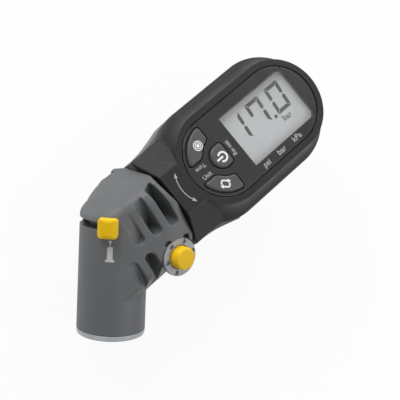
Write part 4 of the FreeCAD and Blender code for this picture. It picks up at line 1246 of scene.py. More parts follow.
@dataclass
class RearCover(Casing):
    """The grey lower shell: flat back, soft lower edge, lower half of the neck and its sloping underside.

    Towards the hump's far end the neck's planes rise: its base, its facets and its sides.
    """

    back: float = -8.4
    side_drop: float = 2.0
    draft: float = 0.5
    back_round: float = 6.3
    hump_start: float = 34.0
    hump_end: float = 61.0
    base_rise: float = 13.0
    facet_lean: float = 0.31
    facet_tip: float = 0.211
    facet_rise: float = 10.22
    facet_bow: float = 2.7
    side_rise: float = 2.0
    neck_edge: float = 0.9
    neck_fillet: float = 1.2
    shoulder_turn: float = 76.4
    shoulder_drop: float = 1.5
    shoulder_round: float = 3.0
    shoulder_fillet: float = 1.0
    screw_hole: float = 1.25
    screw_recess: float = 2.4
    screw_deep: float = 1.4
    door_reach: float = 81.0
    door_steps: tuple = ((12.1, -30.0, -6.9), (12.1, -6.45, -5.35), (11.1, -30.0, 0.0))
    door_seat: tuple = (13.3, -8.3, -3.0)
    door_lip: float = 0.3
    low: Point = (23.5, -26.0, -21.6)
    high: Point = (112.6, 26.0, 9.3)
    cell: float = 0.45

    def tub(self, across: Array, z: Array, wall: float) -> Array:
        """Works out the oval tub.

        Args:
            across: Distance from the oval's middle line.
            z: Upwards.
            wall: How far the surface is moved inwards.

        Returns:
            Distance to the filled tub.
        """
        rise = (z + self.side_drop) / (self.parting + self.side_drop)
        side = across - self.half + self.draft * (1 - np.clip(rise, -1, 1)) + wall
        return both(side, self.back + wall - z, self.back_round)

    def neck(self, x: Array, y: Array, z: Array) -> Array:
        """Works out the neck: three planes on each side, which close in between the hump's two ends.

        Args:
            x: Along the gauge.
            y: Sideways.
            z: Upwards.

        Returns:
            Distance to the neck.
        """
        share = np.clip((x - self.hump_start) / (self.hump_end - self.hump_start), 0, 1)
        base = -z - self.flat_half + self.base_rise * share
        cosine, sine = math.sqrt(0.5) - self.facet_lean * share, math.sqrt(0.5) + self.facet_tip * share
        facet = np.abs(y) * cosine - z * sine - self.flat_half
        facet = facet + self.facet_rise * share - self.facet_bow * share * (1 - share)
        side = np.abs(y) - self.flat_half + self.side_rise * share
        return both(both(both(side, facet, self.neck_edge), base, self.neck_edge), x - self.hump_end)

    def shoulder(self, x: Array, y: Array, z: Array) -> Array:
        """Works out the shoulders that lead from the neck to the tub, each a plane that touches its side.

        Args:
            x: Along the gauge.
            y: Sideways.
            z: Upwards.

        Returns:
            Distance to the shoulders.
        """
        turn = math.radians(self.shoulder_turn)
        plane = np.abs(y) * math.sin(turn) - (x - self.near) * math.cos(turn) - self.half
        lowered = both(plane, -self.side_drop - self.shoulder_drop - z, self.shoulder_round)
        return both(lowered, slab(x, self.neck_start, self.near - self.half * math.cos(turn)))

    def distance(self, x: Array, y: Array, z: Array) -> Array:
        """Works out the cover.

        Args:
            x: Along the gauge.
            y: Sideways.
            z: Upwards.

        Returns:
            Distance to the cover.
        """
        across = self.oval(x, y)
        body = either(self.tub(across, z, 0.0), self.shoulder(x, y, z), self.shoulder_fillet)
        body = either(body, self.neck(x, y, z), self.neck_fillet)
        body = both(both(body, self.neck_start - x, self.end_edge), z - self.parting, self.parting_edge)
        body = less(body, both(self.tub(across, z, self.wall), self.cavity_end(x)))
        boss = both(self.bosses(x, y, self.boss_half), slab(z, self.back + 1, self.parting - self.boss_gap))
        battery = radial(x - self.door_reach, y)
        half, start, stop = self.door_seat
        seat = both(battery - half, slab(z, start, stop))
        body = either(either(body, boss, self.boss_fillet), seat, self.boss_fillet)
        body = less(body, self.bosses(x, y, self.screw_hole))
        recess = both(self.bosses(x, y, self.screw_recess), z - self.back - self.screw_deep)
        body = less(body, recess, self.parting_edge)
        steps = [both(battery - half, slab(z, start, stop)) for half, start, stop in self.door_steps]
        return less(less(body, any_of(*steps), self.door_lip), self.spindle_seat(x, y, z))

    def build(self) -> None:
        """Makes the cover in place of its node."""
        cover = moulded("rear_moulding", MouldedSkin(self.distance, self.low, self.high, self.cell), GAUGE)
        dress(cover, GREY_COVER, "gauge", "grey_cover", "rear_cover")


# Printed marks

def ring_plan(x: float, y: float, outer: float, inner: float, start: float = -180.0,
              stop: float = 180.0) -> list:
    """Gives four-sided tiles of a ring, or of a part of one, or the outline of a disc.

    Args:
        x: Middle.
        y: Middle.
        outer: Outer radius.
        inner: Inner radius, 0 for a disc.
        start: First angle from +X, in degrees.
        stop: Last angle.

    Returns:
        Outlines as lists of (x, y).
    """
    angle = np.radians(np.linspace(start, stop, 49))
    rim = np.stack([x + outer * np.cos(angle), y + outer * np.sin(angle)], 1)
    if inner <= 0:
        return [rim[:-1].tolist()]
    back = np.stack([x + inner * np.cos(angle), y + inner * np.sin(angle)], 1)
    return np.stack([rim[:-1], rim[1:], back[1:], back[:-1]], 1).tolist()


def box_plan(near: float, far: float, low: float, high: float) -> list[Spot]:
    """Outline of a rectangle, from near to far along X and from low to high along Y."""
    return [(near, low), (far, low), (far, high), (near, high)]


@dataclass(frozen=True)
class Print:
    """Thin printed or inlaid marks: flat outlines at a height over a place's XY plane, with a thickness."""

    place: Place
    height: float
    thick: float
    finest: float = 0.5
    heavy: float = 0.012

    def piece(self, name: str, outlines: Sequence[Sequence[Spot]], onto: Wrap | None = None
              ) -> bpy.types.Object:
        """Makes a piece from closed outlines.

        Args:
            name: Its name.
            outlines: Closed outlines, or tiles that share edges, as lists of (x, y) in millimetres.
            onto: Takes points (x, y, height above the surface) to the place's own coordinates, for a
                curved surface. Without it the marks lie flat.

        Returns:
            The piece.
        """
        mesh = bpy.data.meshes.new(name)
        with edited(mesh) as work:
            for outline in outlines:
                work.faces.new([work.verts.new((x, y, 0)) for x, y in outline])
            bmesh.ops.remove_doubles(work, verts=work.verts, dist=1e-5)
            work.normal_update()
            bmesh.ops.triangulate(work, faces=work.faces[:], ngon_method="EAR_CLIP")
            if onto is not None:
                long_edges = [edge for edge in work.edges if edge.calc_length() > self.finest]
                bmesh.ops.subdivide_edges(work, edges=long_edges, cuts=3, use_grid_fill=True)
                bmesh.ops.triangulate(work, faces=work.faces[:])
            bmesh.ops.recalc_face_normals(work, faces=work.faces[:])
            top = work.faces[:]
            if sum(face.normal.z for face in top) < 0:
                bmesh.ops.reverse_faces(work, faces=top)
            grown = bmesh.ops.extrude_face_region(work, geom=top)
            for item in grown["geom"]:
                if isinstance(item, bmesh.types.BMVert):
                    item.co.z = self.thick
            bmesh.ops.recalc_face_normals(work, faces=work.faces[:])
        return self.settle(name, mesh, onto)

    def settle(self, name: str, mesh: bpy.types.Mesh, onto: Wrap | None = None) -> bpy.types.Object:
        """Puts a flat mesh, whose Z is its height over the surface, onto the surface and into the frame.

        Args:
            name: The piece's name.
            mesh: The mesh, in millimetres.
            onto: As for a piece.

        Returns:
            The piece.
        """
        points = points_of(mesh)
        points = onto(points) if onto is not None else points + (0, 0, self.height)
        mesh.vertices.foreach_set("co", self.place.to_model(points).ravel())
        mesh.update()
        return linked(name, mesh)

    def words(self, name: str, text: str, middle: Spot, width: float, turn: float) -> bpy.types.Object:
        """Makes generic lettering.

        Args:
            name: The piece's name.
            text: What it says.
            middle: Its middle in the place's XY plane.
            width: Its width in millimetres.
            turn: Reading direction from +X, in degrees.

        Returns:
            The piece.
        """
        curve = bpy.data.curves.new(name + "_curve", "FONT")
        curve.body = text
        curve.offset = self.heavy
        curve.resolution_u = 4
        curve.extrude = 0.5
        source = linked(name + "_source", curve)
        bpy.context.view_layer.update()
        mesh = bpy.data.meshes.new_from_object(source.evaluated_get(bpy.context.evaluated_depsgraph_get()))
        bpy.data.objects.remove(source)
        bpy.data.curves.remove(curve)
        mesh.name = name
        points = points_of(mesh)
        low, high = points.min(0), points.max(0)
        flat = (points[:, :2] - (low[:2] + high[:2]) / 2) * width / (high[0] - low[0])
        angle = math.radians(turn)
        spin = np.array(((math.cos(angle), math.sin(angle)), (-math.sin(angle), math.cos(angle))))
        placed = np.column_stack([flat @ spin + np.array(middle), (points[:, 2] > 0) * self.thick])
        mesh.vertices.foreach_set("co", placed.ravel())
        return self.settle(name, mesh)


# Keys, lens and display

class KeyKind(Enum):
    """The three keys."""

    RING = "ring_key"
    POWER = "power_key"
    UNIT = "unit_key"

    @property
    def body(self) -> str:
        """The body that the key moves with."""
        return self.value.replace("_key", "_button")


@dataclass
class Keys(Casing):
    """Three rubber keys under one flat lens, each with its white mark."""

    outer: float = 15.2
    inner: float = 8.4
    edge: float = 51.3
    side: float = 4.1
    corner: float = 1.5
    power_half: float = 4.95
    power_flat: float = 54.7
    top: float = 21.45
    top_round: float = 1.0
    lean: float = 0.06
    floor: float = 15.85
    gap: float = 0.35
    flange: float = 0.7
    flange_top: float = 19.15
    flange_thick: float = 1.2
    flange_fillet: float = 0.2
    spans: tuple = ((KeyKind.RING, (35.5, 2.6), (52.8, 16.8)), (KeyKind.POWER, (45.0, -6.4), (56.2, 6.4)),
                    (KeyKind.UNIT, (35.5, -16.8), (52.8, -2.6)))
    margin: float = 0.6
    cell: float = 0.2
    ring_spot: Spot = (45.8, 9.1)
    ring_sizes: tuple = ((0.75, 0.0), (1.42, 1.08), (2.1, 1.74))
    power_spot: Spot = (51.3, -0.5)
    power_ring: Spot = (2.3, 1.5)
    power_gap: float = 42.0
    power_bar: tuple = (48.2, 51.5, -0.925, -0.075)
    unit_spot: Spot = (44.75, -9.35)
    unit_along: Spot = (0.77, -0.64)
    unit_wide: float = 1.75
    unit_high: float = 1.25
    unit_line: float = 0.33
    unit_bend: float = 0.75
    unit_tail: float = -0.55
    unit_neck: float = 0.9
    unit_tip: float = 2.35
    unit_barb: float = 0.85

    def outline(self, kind: KeyKind, x: Array, y: Array) -> Array:
        """Works out a key's plan: a piece of a ring beside the middle key, or a half circle with a flat.

        Args:
            kind: Which key.
            x: Along the gauge.
            y: Sideways.

        Returns:
            Distance to the plan.
        """
        if kind is KeyKind.POWER:
            bow = radial(np.minimum(x - self.edge, 0), y) - self.power_half
            return both(bow, x - self.power_flat, self.corner)
        about = radial(x - self.near, y)
        away = self.side - (y if kind is KeyKind.RING else -y)
        band = np.maximum(about - self.outer, self.inner - about)
        return both(band, np.maximum(x - self.edge, away), self.corner)

    def key(self, kind: KeyKind) -> Distance:
        """Gives the shape of one key: its cap with a soft upper edge, over a thin flange.

        Args:
            kind: Which key.

        Returns:
            The function that works out the distance to the key.
        """
        def distance(x: Array, y: Array, z: Array) -> Array:
            """Works out the distance at points of the gauge's frame.

            Args:
                x: Along the gauge.
                y: Sideways.
                z: Upwards.

            Returns:
                Distance to the key.
            """
            plan = self.outline(kind, x, y)
            lean = self.lean * np.maximum(z - self.flange_top, 0)
            cap = both(both(plan + lean, z - self.top, self.top_round), self.floor - z)
            rim = both(plan - self.flange, slab(z, self.flange_top - self.flange_thick, self.flange_top))
            return either(cap, rim, self.flange_fillet)
        return distance

    def build(self) -> None:
        """Makes the keys in place of their nodes, and their marks."""
        for kind, low, high in self.spans:
            low, high = (*low, self.floor - self.margin), (*high, self.top + self.margin)
            piece = moulded(kind.value + "_cap", MouldedSkin(self.key(kind), low, high, self.cell), GAUGE)
            dress(piece, KEY_RUBBER, kind.body, "key_rubber", kind.value)
        rings = [tile for sizes in self.ring_sizes for tile in ring_plan(*self.ring_spot, *sizes)]
        open_ring = ring_plan(*self.power_spot, *self.power_ring, self.power_gap - 180, 180 - self.power_gap)
        mark = Print(GAUGE, self.top + 0.005, 0.02)
        for name, outlines, kind in (("ring_mark", rings, KeyKind.RING),
                                     ("power_mark", open_ring + [box_plan(*self.power_bar)], KeyKind.POWER),
                                     ("unit_mark", self.arrows_plan(), KeyKind.UNIT)):
            dress(mark.piece(name, outlines), WHITE_MARK, kind.body, "white_plastic")

    def arrows_plan(self) -> list:
        """Gives tiles of two bent arrows that chase each other round a rectangle with rounded corners.

        Returns:
            Outlines as lists of (x, y).
        """
        centre, along = np.array(self.unit_spot), np.array(self.unit_along)
        across = np.array((-along[1], along[0]))
        wide, high, line, bend = self.unit_wide, self.unit_high, self.unit_line, self.unit_bend
        head = [(self.unit_neck, high - self.unit_barb), (self.unit_tip, high),
                (self.unit_neck, high + self.unit_barb)]
        tiles = [box_plan(-wide - line, -wide + line, self.unit_tail, high - bend),
                 box_plan(-wide + bend, self.unit_neck, high - line, high + line), head]
        tiles += ring_plan(-wide + bend, high - bend, bend + line, bend - line, 90, 180)
        outlines = []
        for turn in (1, -1):
            for tile in tiles:
                flat = turn * np.array(tile)
                outlines.append((centre + flat[:, :1] * along + flat[:, 1:] * across).tolist())
        return outlines


@dataclass
class Lens(Casing):
    """The flat lens: black back print with a clear window, and an opening for each key."""

    window_near: float = 61.0
    window_far: float = 98.4
    window_half: float = 12.1
    window_corner: float = 0.35
    pane_thick: float = 0.5
    pane_gap: float = 0.02
    pane_drop: float = 0.01
    gap: float = 0.15
    lip: float = 0.3
    low: Point = (34.4, -17.6, 18.9)
    high: Point = (104.4, 17.6, 21.0)
    cell: float = 0.24
    lettering: tuple = (("unit_word", "Unit", (41.2, -2.2), 4.5, 0),
                        ("tune_word", "Tune", (41.1, 1.7), 5.0, 180),
                        ("reset_word", "Re-set", (56.9, 0.1), 6.9, 90),
                        ("units_line", "psi     bar     kPa", (74.9, -14.5), 22.5, 0))

    def distance(self, x: Array, y: Array, z: Array) -> Array:
        """Works out the printed plate.

        Args:
            x: Along the gauge.
            y: Sideways.
            z: Upwards.

        Returns:
            Distance to the plate.
        """
        keys = Keys()
        side = self.oval(x, y) - self.lens_half + self.gap
        plate = both(side, slab(z, self.lens_floor, self.lens_top), self.lip)
        openings = any_of(*[keys.outline(kind, x, y) for kind in KeyKind]) - keys.gap
        along, across = slab(x, self.window_near, self.window_far), np.abs(y) - self.window_half
        return less(less(plate, openings, self.lip), both(along, across, self.window_corner))

    def build(self) -> None:
        """Makes the plate and the pane in place of the lens's node, and the printed words."""
        plate = moulded("lens_print_plate", MouldedSkin(self.distance, self.low, self.high, self.cell), GAUGE)
        dress(plate, LENS_PRINT, "gauge", "lens", "display_lens")
        half = self.window_half - self.pane_gap
        plan = box_plan(self.window_near + self.pane_gap, self.window_far - self.pane_gap, -half, half)
        levels = (self.lens_top - self.pane_thick, self.lens_top - self.pane_drop)
        points = [(x, y, z) for z in levels for x, y in plan]
        faces = [(3, 2, 1, 0), (4, 5, 6, 7), (0, 1, 5, 4), (1, 2, 6, 5), (2, 3, 7, 6), (3, 0, 4, 7)]
        dress(mesh_of("lens_window", np.array(points), faces, GAUGE), CLEAR, "gauge", "lens", "display_lens")
        ink = Print(GAUGE, self.lens_top + 0.002, 0.015)
        for word in self.lettering:
            dress(ink.words(*word), GREY_MARK, "gauge", "lens")


@dataclass
class Display(Casing):
    """The display's front sheet with its grey border, three slanted digits, a point and the unit."""

    sheet_low: float = 17.81
    sheet_thick: float = 0.14
    ink_thick: float = 0.02
    sheet_near: float = 59.9
    sheet_far: float = 99.3
    sheet_half: float = 13.2
    border_reach: float = 98.15
    border_side: float = 11.5
    middle: float = 3.2
    half_wide: float = 3.05
    half_high: float = 5.2
    stroke: float = 1.6
    split: float = 0.14
    slant: float = 6.5
    digits: tuple = ((66.65, "bc"), (78.25, "abcf"), (89.9, "abcdef"))
    dot: tuple = ((82.95, -3.15), (84.35, -3.15), (84.5, -1.8), (83.1, -1.8))
    unit: tuple = ("unit_shown", "bar", (88.0, -5.2), 4.6, -4)

    def segments(self, centre: float, lit: str) -> list:
        """Gives the lit segments of a digit: bars with mitred ends, leaned by the slant.

        Args:
            centre: Where the digit stands along the gauge.
            lit: Letters of its lit segments, in the usual order from the top round to the upper left.

        Returns:
            Outlines as lists of (x, y).
        """
        w, h, t, g = self.half_wide, self.half_high, self.stroke / 2, self.split
        top = [(-w - t + g, h + t), (w + t - g, h + t), (w - t - g, h - t), (-w + t + g, h - t)]
        upper = [(w + t, h + t - g), (w + t, t + g), (w, g), (w - t, t + g), (w - t, h - t - g)]
        shapes = {"a": top, "b": upper, "d": [(x, -y) for x, y in top], "c": [(x, -y) for x, y in upper],
                  "f": [(-x, y) for x, y in upper], "e": [(-x, -y) for x, y in upper]}
        lean = math.tan(math.radians(self.slant))
        return [[(centre + x + lean * y, self.middle + y) for x, y in shapes[key]] for key in lit]

    def build(self) -> None:
        """Makes the sheet, its border, the segments, the point and the unit."""
        near, far, side = self.sheet_near, self.sheet_far, self.sheet_half
        reach, rise = self.border_reach, self.border_side
        sheet = Print(GAUGE, self.sheet_low, self.sheet_thick)
        dress(sheet.piece("display_sheet", [box_plan(near, far, -side, side)]), PANEL, "gauge", "panel")
        ink = Print(GAUGE, self.sheet_low + self.sheet_thick, self.ink_thick)
        border = [box_plan(near, reach, rise, side), box_plan(reach, far, -side, rise),
                  box_plan(reach, far, rise, side)]
        dress(ink.piece("display_border", border), LIGHT_FRAME, "gauge", "light_frame")
        for number, (centre, lit) in enumerate(self.digits, start=1):
            dress(ink.piece(f"digit_{number}", self.segments(centre, lit)), DIGIT_INK, "gauge", "panel")
        dress(ink.piece("decimal_point", [self.dot]), DIGIT_INK, "gauge", "panel")
        dress(ink.words(*self.unit), DIGIT_INK, "gauge", "panel")


@dataclass
class TurnArrow(Casing):
    """The printed double arrow on the neck, which shows that the head turns."""

    centre: Spot = (40.2, -0.25)
    radius: float = 11.6
    spread: float = 26.5
    overlap: float = 0.5
    wide: float = 0.36
    head_long: float = 2.1
    head_wide: float = 1.5
    head_out: float = 0.05

    def build(self) -> None:
        """Makes the arrow as one bent line with a head at each end."""
        reach = self.spread + self.overlap
        half = self.wide / 2
        outlines = ring_plan(*self.centre, self.radius + half, self.radius - half, 180 - reach, 180 + reach)
        for sign in (-1, 1):
            angle = math.radians(180 + sign * self.spread)
            outward = np.array((math.cos(angle), math.sin(angle)))
            along = sign * np.array((-math.sin(angle), math.cos(angle)))
            base = np.array(self.centre) + outward * self.radius
            barb = outward * self.head_wide / 2
            tip = base + along * self.head_long + outward * self.head_out
            outlines.append([tip.tolist(), (base + barb).tolist(), (base - barb).tolist()])
        ink = Print(GAUGE, self.face + 0.003, 0.02)
        dress(ink.piece("turn_arrow", outlines), ARROW_PRINT, "gauge", "white_plastic")


# Parts on the head

@dataclass
class Selector:
    """The yellow tab that slides round the chuck, and the two valve marks that it points at.

    The tab's distances are stated in the chuck's frame, turned so that X points at the tab.
    """

    head: HeadShell = field(default_factory=HeadShell)
    angle: float = 45.5
    tab_gap: float = 0.35
    thick: float = 3.4
    wide: float = 7.8
    tall: float = 7.9
    face: float = 3.4
    middle: float = -10.3
    front_edge: float = 0.35
    edge: float = 0.4
    corner: float = 1.5
    cheek_deep: float = 1.15
    slope: Spot = (0.82, 0.57)
    brow_rise: float = 0.9
    foot_rise: float = 1.1
    bore_lip: float = 0.2
    notch_half: Spot = (2.0, 1.2)
    notch_thick: float = 2.2
    mark_turn: float = 3.6
    mark_lift: float = 0.03
    mark_thick: float = 0.02
    low: Point = (11.8, -4.6, -15.0)
    high: Point = (18.0, 4.6, -5.6)
    cell: float = 0.16
    slim_valve: tuple = (
        ((-0.42, -5.2), (0.42, -5.2), (0.55, -4.7), (0.42, -4.15), (0.2, -4.15), (0.2, -2.65), (-0.2, -2.65),
         (-0.2, -4.15), (-0.42, -4.15), (-0.55, -4.7)),
        ((-1.1, -2.65), (1.1, -2.65), (1.1, 1.9), (1.25, 2.5), (-1.25, 2.5), (-1.1, 1.9)),
        ((-1.8, 2.5), (1.8, 2.5), (1.8, 3.35), (-1.8, 3.35)))
    wide_valve: tuple = (
        ((-0.35, -5.0), (0.35, -5.0), (0.35, -3.9), (-0.35, -3.9)),
        ((-1.15, -3.9), (1.15, -3.9), (1.15, 0.2), (1.75, 0.9), (1.75, 2.6), (-1.75, 2.6), (-1.75, 0.9),
         (-1.15, 0.2)),
        ((-2.3, 2.6), (2.3, 2.6), (2.3, 3.35), (-2.3, 3.35)))

    def tab(self, x: Array, y: Array, z: Array) -> Array:
        """Works out the tab: a face and two slanted cheeks in plan, with rounded corners seen from outside.

        Args:
            x: Outwards.
            y: Sideways.
            z: Down the chuck.

        Returns:
            Distance to the tab.
        """
        outer = x - (self.head.chuck_half + self.tab_gap + self.thick)
        beside = np.abs(y)
        below = z - self.middle
        block = both(beside - self.wide / 2, np.abs(below) - self.tall / 2, self.corner)
        turn = math.atan2(self.cheek_deep, (self.wide - self.face) / 2)
        cheek = outer * math.cos(turn) + (beside - self.face / 2) * math.sin(turn)
        brow = outer * self.slope[0] - (below + self.tall / 2 - self.brow_rise) * self.slope[1]
        foot = outer * self.slope[0] + (below - self.tall / 2 + self.foot_rise) * self.slope[1]
        front = both(both(outer, cheek, self.front_edge), brow, self.front_edge)
        tab = both(block, both(front, foot, self.edge), self.edge)
        bore = radial(x, y) - self.head.chuck_half - self.tab_gap
        across, along = self.notch_half
        notch = both(both(beside - across, np.abs(below) - along), outer + self.notch_thick)
        return less(less(tab, bore, self.bore_lip), notch)

    def on_column(self, turn: float) -> Wrap:
        """Gives the wrap that takes (sideways, down, height) onto the column.

        Args:
            turn: Angle round the column, in degrees.

        Returns:
            The wrap.
        """
        half, top = self.head.chuck_half, self.head.slot_top
        flare = (self.head.mouth_half - half) / (self.head.chuck_length + top)

        def onto(points: Array) -> Array:
            """Adds the height to the column's radius, which grows evenly from the slot to the mouth.

            Args:
                points: Sideways, down and height, in millimetres.

            Returns:
                The points in the chuck's frame.
            """
            radius = half + flare * np.maximum(points[:, 1] + top, 0) + self.mark_lift + points[:, 2]
            angle = math.radians(turn) + points[:, 0] / half
            return np.stack([radius * np.cos(angle), radius * np.sin(angle), points[:, 1]], 1)
        return onto

    def build(self) -> None:
        """Makes the tab in place of its node, and the two marks on the column."""
        turn = math.radians(self.angle)
        place = CHUCK.inner((0, 0, 0), (math.cos(turn), -math.sin(turn), 0), (0, 0, 1))
        tab = moulded("selector_tab_cap", MouldedSkin(self.tab, self.low, self.high, self.cell), place)
        dress(tab, YELLOW, "selector", "yellow_plastic", "selector_tab")
        ink = Print(CHUCK, 0.0, self.mark_thick)
        for name, outlines, side in (("slim_valve_mark", self.slim_valve, -1),
                                     ("wide_valve_mark", self.wide_valve, 1)):
            mark = ink.piece(name, outlines, self.on_column(side * (self.angle + self.mark_turn)))
            dress(mark, PALE_PRINT, "head", "white_plastic")


@dataclass
class BleedValve:
    """The pale collar with its six blind pin holes, the yellow button in its middle and the coiled spring."""

    face: float = 19.9
    half: float = 7.8
    thick: float = 1.9
    edge: float = 0.35
    seat: float = 5.8
    inner: float = 7.0
    floor: float = 2.0
    neck_edge: float = 0.1
    button_half: float = 4.8
    button_gap: float = 0.06
    bore_lip: float = 0.25
    stem_half: float = 1.05
    hole_half: float = 0.95
    hole_circle: float = 6.35
    hole_deep: float = 0.9
    hole_round: float = 0.2
    hole_lip: float = 0.15
    reach: float = 8.4
    margin: float = 0.5
    cell: float = 0.2
    button_top: float = 23.7
    button_floor: float = 11.4
    button_waist: float = 18.0
    crown: float = 1.6
    travel: float = 1.8
    coil_half: float = 2.6
    wire: float = 0.3
    turns: int = 7
    spare: float = 0.1

    def collar(self, x: Array, y: Array, z: Array) -> Array:
        """Works out the collar: a flange over a shank, bored for the button and the stem.

        Args:
            x: Across the valve.
            y: Across the valve.
            z: Outwards.

        Returns:
            Distance to the collar.
        """
        about = radial(x, y)
        flange = both(about - self.half, slab(z, self.face - self.thick, self.face), self.edge)
        shank = both(about - self.seat, slab(z, self.inner, self.face - 1))
        body = either(flange, shank, self.neck_edge)
        bore = both(about - self.button_half - self.button_gap, self.inner + self.floor - z)
        body = less(less(body, bore, self.bore_lip), about - self.stem_half)
        holes = six_about(x, y, self.hole_circle) - self.hole_half
        return less(body, both(holes, self.face - self.hole_deep - z, self.hole_round), self.hole_lip)

    def build(self) -> None:
        """Makes the collar, the button and the spring in place of their nodes."""
        skin = MouldedSkin(self.collar, (-self.reach, -self.reach, self.inner - self.margin),
                           (self.reach, self.reach, self.face + self.margin), self.cell)
        dress(moulded("bleed_collar_ring", skin, BLEED), COLLAR, "head", "aluminium", "bleed_collar")
        wall = self.button_half - 1.0
        roof = self.button_top - self.crown
        skirt = [(wall, self.button_floor, 0), (self.button_half - 0.02, self.button_floor, 0.2),
                 (self.button_half - 0.05, self.button_waist, 0.1),
                 (self.button_half - 0.3, self.button_top, 0.95), (0.0, self.button_top + 0.05, 0)]
        profile = [(0.0, roof), (wall, roof)] + rounded_profile(skirt, 8)
        button = turned("bleed_button_cap", profile, BLEED, 50)
        dress(button, YELLOW, "bleeder", "yellow_plastic", "bleed_button")
        self.coil()

    def coil(self) -> None:
        """Makes the bleed spring, a wire wound round the stem.

        The wire's middle goes round the axis at the coil's radius while it rises evenly. Each point of its
        surface is that middle, plus the wire's radius times the cosine of its angle along the coil's radius
        and the sine of its angle along the axis.
        """
        bottom = self.inner + self.floor
        length = self.button_top - self.crown - bottom
        share = np.linspace(0, 1, self.turns * 32 + 1)[:, None]
        turn = 2 * np.pi * self.turns * share
        about = 2 * np.pi * np.arange(10) / 10
        out = self.coil_half + self.wire * np.cos(about)
        up = bottom + self.wire + (length - 2 * self.wire) * share + self.wire * np.sin(about)
        coil = swept("bleed_spring_coil", np.stack([out * np.cos(turn), out * np.sin(turn), up], -1), BLEED,
                     True, 50)
        dress(coil, SPRING_STEEL, "head", "spring_steel", "bleed_spring")
        tuple(BLEED.to_model((0, 0, bottom)))
        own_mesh(coil)


@dataclass
class Mouth:
    """The pale cap that holds the gasket in the chuck's mouth."""

    floor: float = 29.3
    skirt: float = 10.6
    length: float = 33.5
    top: float = 35.7
    half: float = 13.7
    bore: float = 4.4

    def build(self) -> None:
        """Makes the cap in place of its node, with a fine groove under its rim."""
        outside = [(self.skirt, self.length, 0), (self.half, self.length, 0.15),
                   (self.half, self.length + 0.55, 0.1), (self.half - 0.25, self.length + 0.7, 0.08),
                   (self.half - 0.05, self.length + 0.9, 0.1), (self.half - 0.15, self.top, 0.8),
                   (self.bore + 2.6, self.top, 0.15), (self.bore + 2.3, self.top - 0.35, 0.15),
                   (self.bore + 0.9, self.top - 0.35, 0.3), (self.bore, self.top - 1.1, 0.2),
                   (self.bore, self.floor, 0)]
        profile = [(self.bore, self.floor), (self.skirt, self.floor)] + rounded_profile(outside, 6)
        dress(turned("mouth_cap", profile, CHUCK, 35), CAP_METAL, "head", "aluminium", "end_cap")


# Floor, lamps and camera

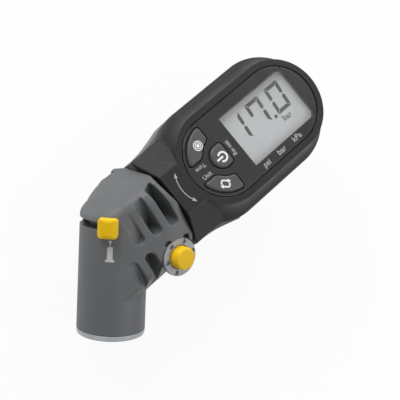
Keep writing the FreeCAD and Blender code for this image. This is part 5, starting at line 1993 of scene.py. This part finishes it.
@dataclass
class Studio:
    """Plain pale floor, soft lamps, and the camera at the photograph's angle. Lengths are in millimetres."""

    camera_spot: Point = (-228.5, 25.0, 464.65)
    view_back: Point = (-0.4205, 0.0677, 0.9047)
    view_up: Point = (0.5969, 0.7716, 0.2197)
    lens: float = 111.0
    sensor: float = 36.0
    distance: float = 486.2
    floor_half: float = 3000.0
    floor_tone: float = 0.86
    floor_glow: float = 0.93
    world_light: float = 0.19
    lamps: tuple = (("key_lamp", (-260, 610, 430), 420, 4.5), ("fill_lamp", (560, -120, 330), 460, 1.5),
                    ("top_lamp", (380, 560, 140), 420, 1.7))

    def build(self) -> None:
        """Makes the camera, the floor, the lamps and the world."""
        axes = self.view_axes()
        self.make_camera(axes)
        self.make_floor()
        aim = Vector(self.camera_spot) - axes.col[2] * self.distance
        for name, spot, size, power in self.lamps:
            self.make_lamp(name, aim, axes @ Vector(spot), size, power)
        self.make_world()

    def view_axes(self) -> Matrix:
        """Works out the view's directions.

        Returns:
            Right, up and backward as columns.
        """
        back = Vector(self.view_back).normalized()
        right = Vector(self.view_up).cross(back).normalized()
        return Matrix((right, back.cross(right), back)).transposed()

    def make_camera(self, axes: Matrix) -> None:
        """Makes the camera.

        Args:
            axes: The view's right, up and backward directions as columns.
        """
        data = bpy.data.cameras.new("camera")
        data.lens = self.lens
        data.sensor_width = self.sensor
        data.clip_start, data.clip_end = 0.01, 20.0
        camera = linked("camera", data)
        camera.matrix_world = Matrix.Translation(Vector(self.camera_spot) * MM) @ axes.to_4x4()
        bpy.context.scene.camera = camera

    def make_floor(self) -> None:
        """Makes the floor at the object's lowest point, white to the camera and grey only in shadow."""
        low = CAD_BOX[0].z
        half = self.floor_half * MM
        mesh = bpy.data.meshes.new("floor")
        mesh.from_pydata([(x, y, low) for x, y in box_plan(-half, half, -half, half)], [], [(0, 1, 2, 3)])
        floor = linked("floor", mesh)
        made = bpy.data.materials.new("pale_floor")
        made.use_nodes = True
        nodes = Nodes(made.node_tree)
        shader = made.node_tree.nodes["Principled BSDF"]
        nodes.feed(shader, {"Base Color": grey(self.floor_tone), "Roughness": 0.8, "Specular IOR Level": 0.1})
        glow = nodes.add("ShaderNodeEmission", {"Color": grey(1.0), "Strength": 1.0})
        seen = nodes.math("MULTIPLY", self.seen_rays(nodes), self.floor_glow)
        mixed = nodes.add("ShaderNodeMixShader", {0: seen, 1: shader.outputs[0], 2: glow.outputs[0]})
        nodes.feed(made.node_tree.nodes["Material Output"], {"Surface": mixed.outputs[0]})
        mesh.materials.append(made)

    @staticmethod
    def make_lamp(name: str, aim: Vector, offset: Vector, size: float, power: float) -> None:
        """Makes one soft square lamp.

        Args:
            name: Its name.
            aim: Point that it shines at.
            offset: Its place from that point.
            size: Side of its square.
            power: Its power in watts.
        """
        data = bpy.data.lights.new(name, "AREA")
        data.shape = "SQUARE"
        data.size = size * MM
        data.energy = power
        lamp = linked(name, data)
        lamp.location = (aim + offset) * MM
        lamp.rotation_euler = offset.to_track_quat("Z", "Y").to_euler()

    @staticmethod
    def seen_rays(nodes: Nodes) -> bpy.types.NodeSocket:
        """Gives 1 for what the camera sees straight, in a gloss or through glass, and 0 for other rays.

        Args:
            nodes: Helper for the node tree.

        Returns:
            The socket of that value.
        """
        rays = nodes.add("ShaderNodeLightPath")
        sight = nodes.math("MAXIMUM", rays.outputs["Is Camera Ray"], rays.outputs["Is Glossy Ray"])
        return nodes.math("MAXIMUM", sight, rays.outputs["Is Transmission Ray"])

    def make_world(self) -> None:
        """Makes a pale world, white to the camera."""
        world = bpy.data.worlds.new("studio")
        bpy.context.scene.world = world
        world.use_nodes = True
        nodes = Nodes(world.node_tree)
        strength = nodes.span(self.seen_rays(nodes), 0, 1, self.world_light, 1.0)
        nodes.feed(world.node_tree.nodes["Background"], {"Color": grey(1.0), "Strength": strength})


def main() -> None:
    """Builds the finishes, the studio and the pieces in order."""
    logging.basicConfig(level=logging.INFO, format="%(name)s: %(message)s")
    bpy.context.scene.view_settings.view_transform = "Standard"
    SharedGroups().build()
    Studio().build()
    dress_nodes()
    for part in (HeadShell(), FrontCasing(), RearCover(), Lens(), Keys(), Display(), TurnArrow(), Selector(),
                 BleedValve(), Mouth()):
        part.build()


if __name__ == "__main__":
    main()
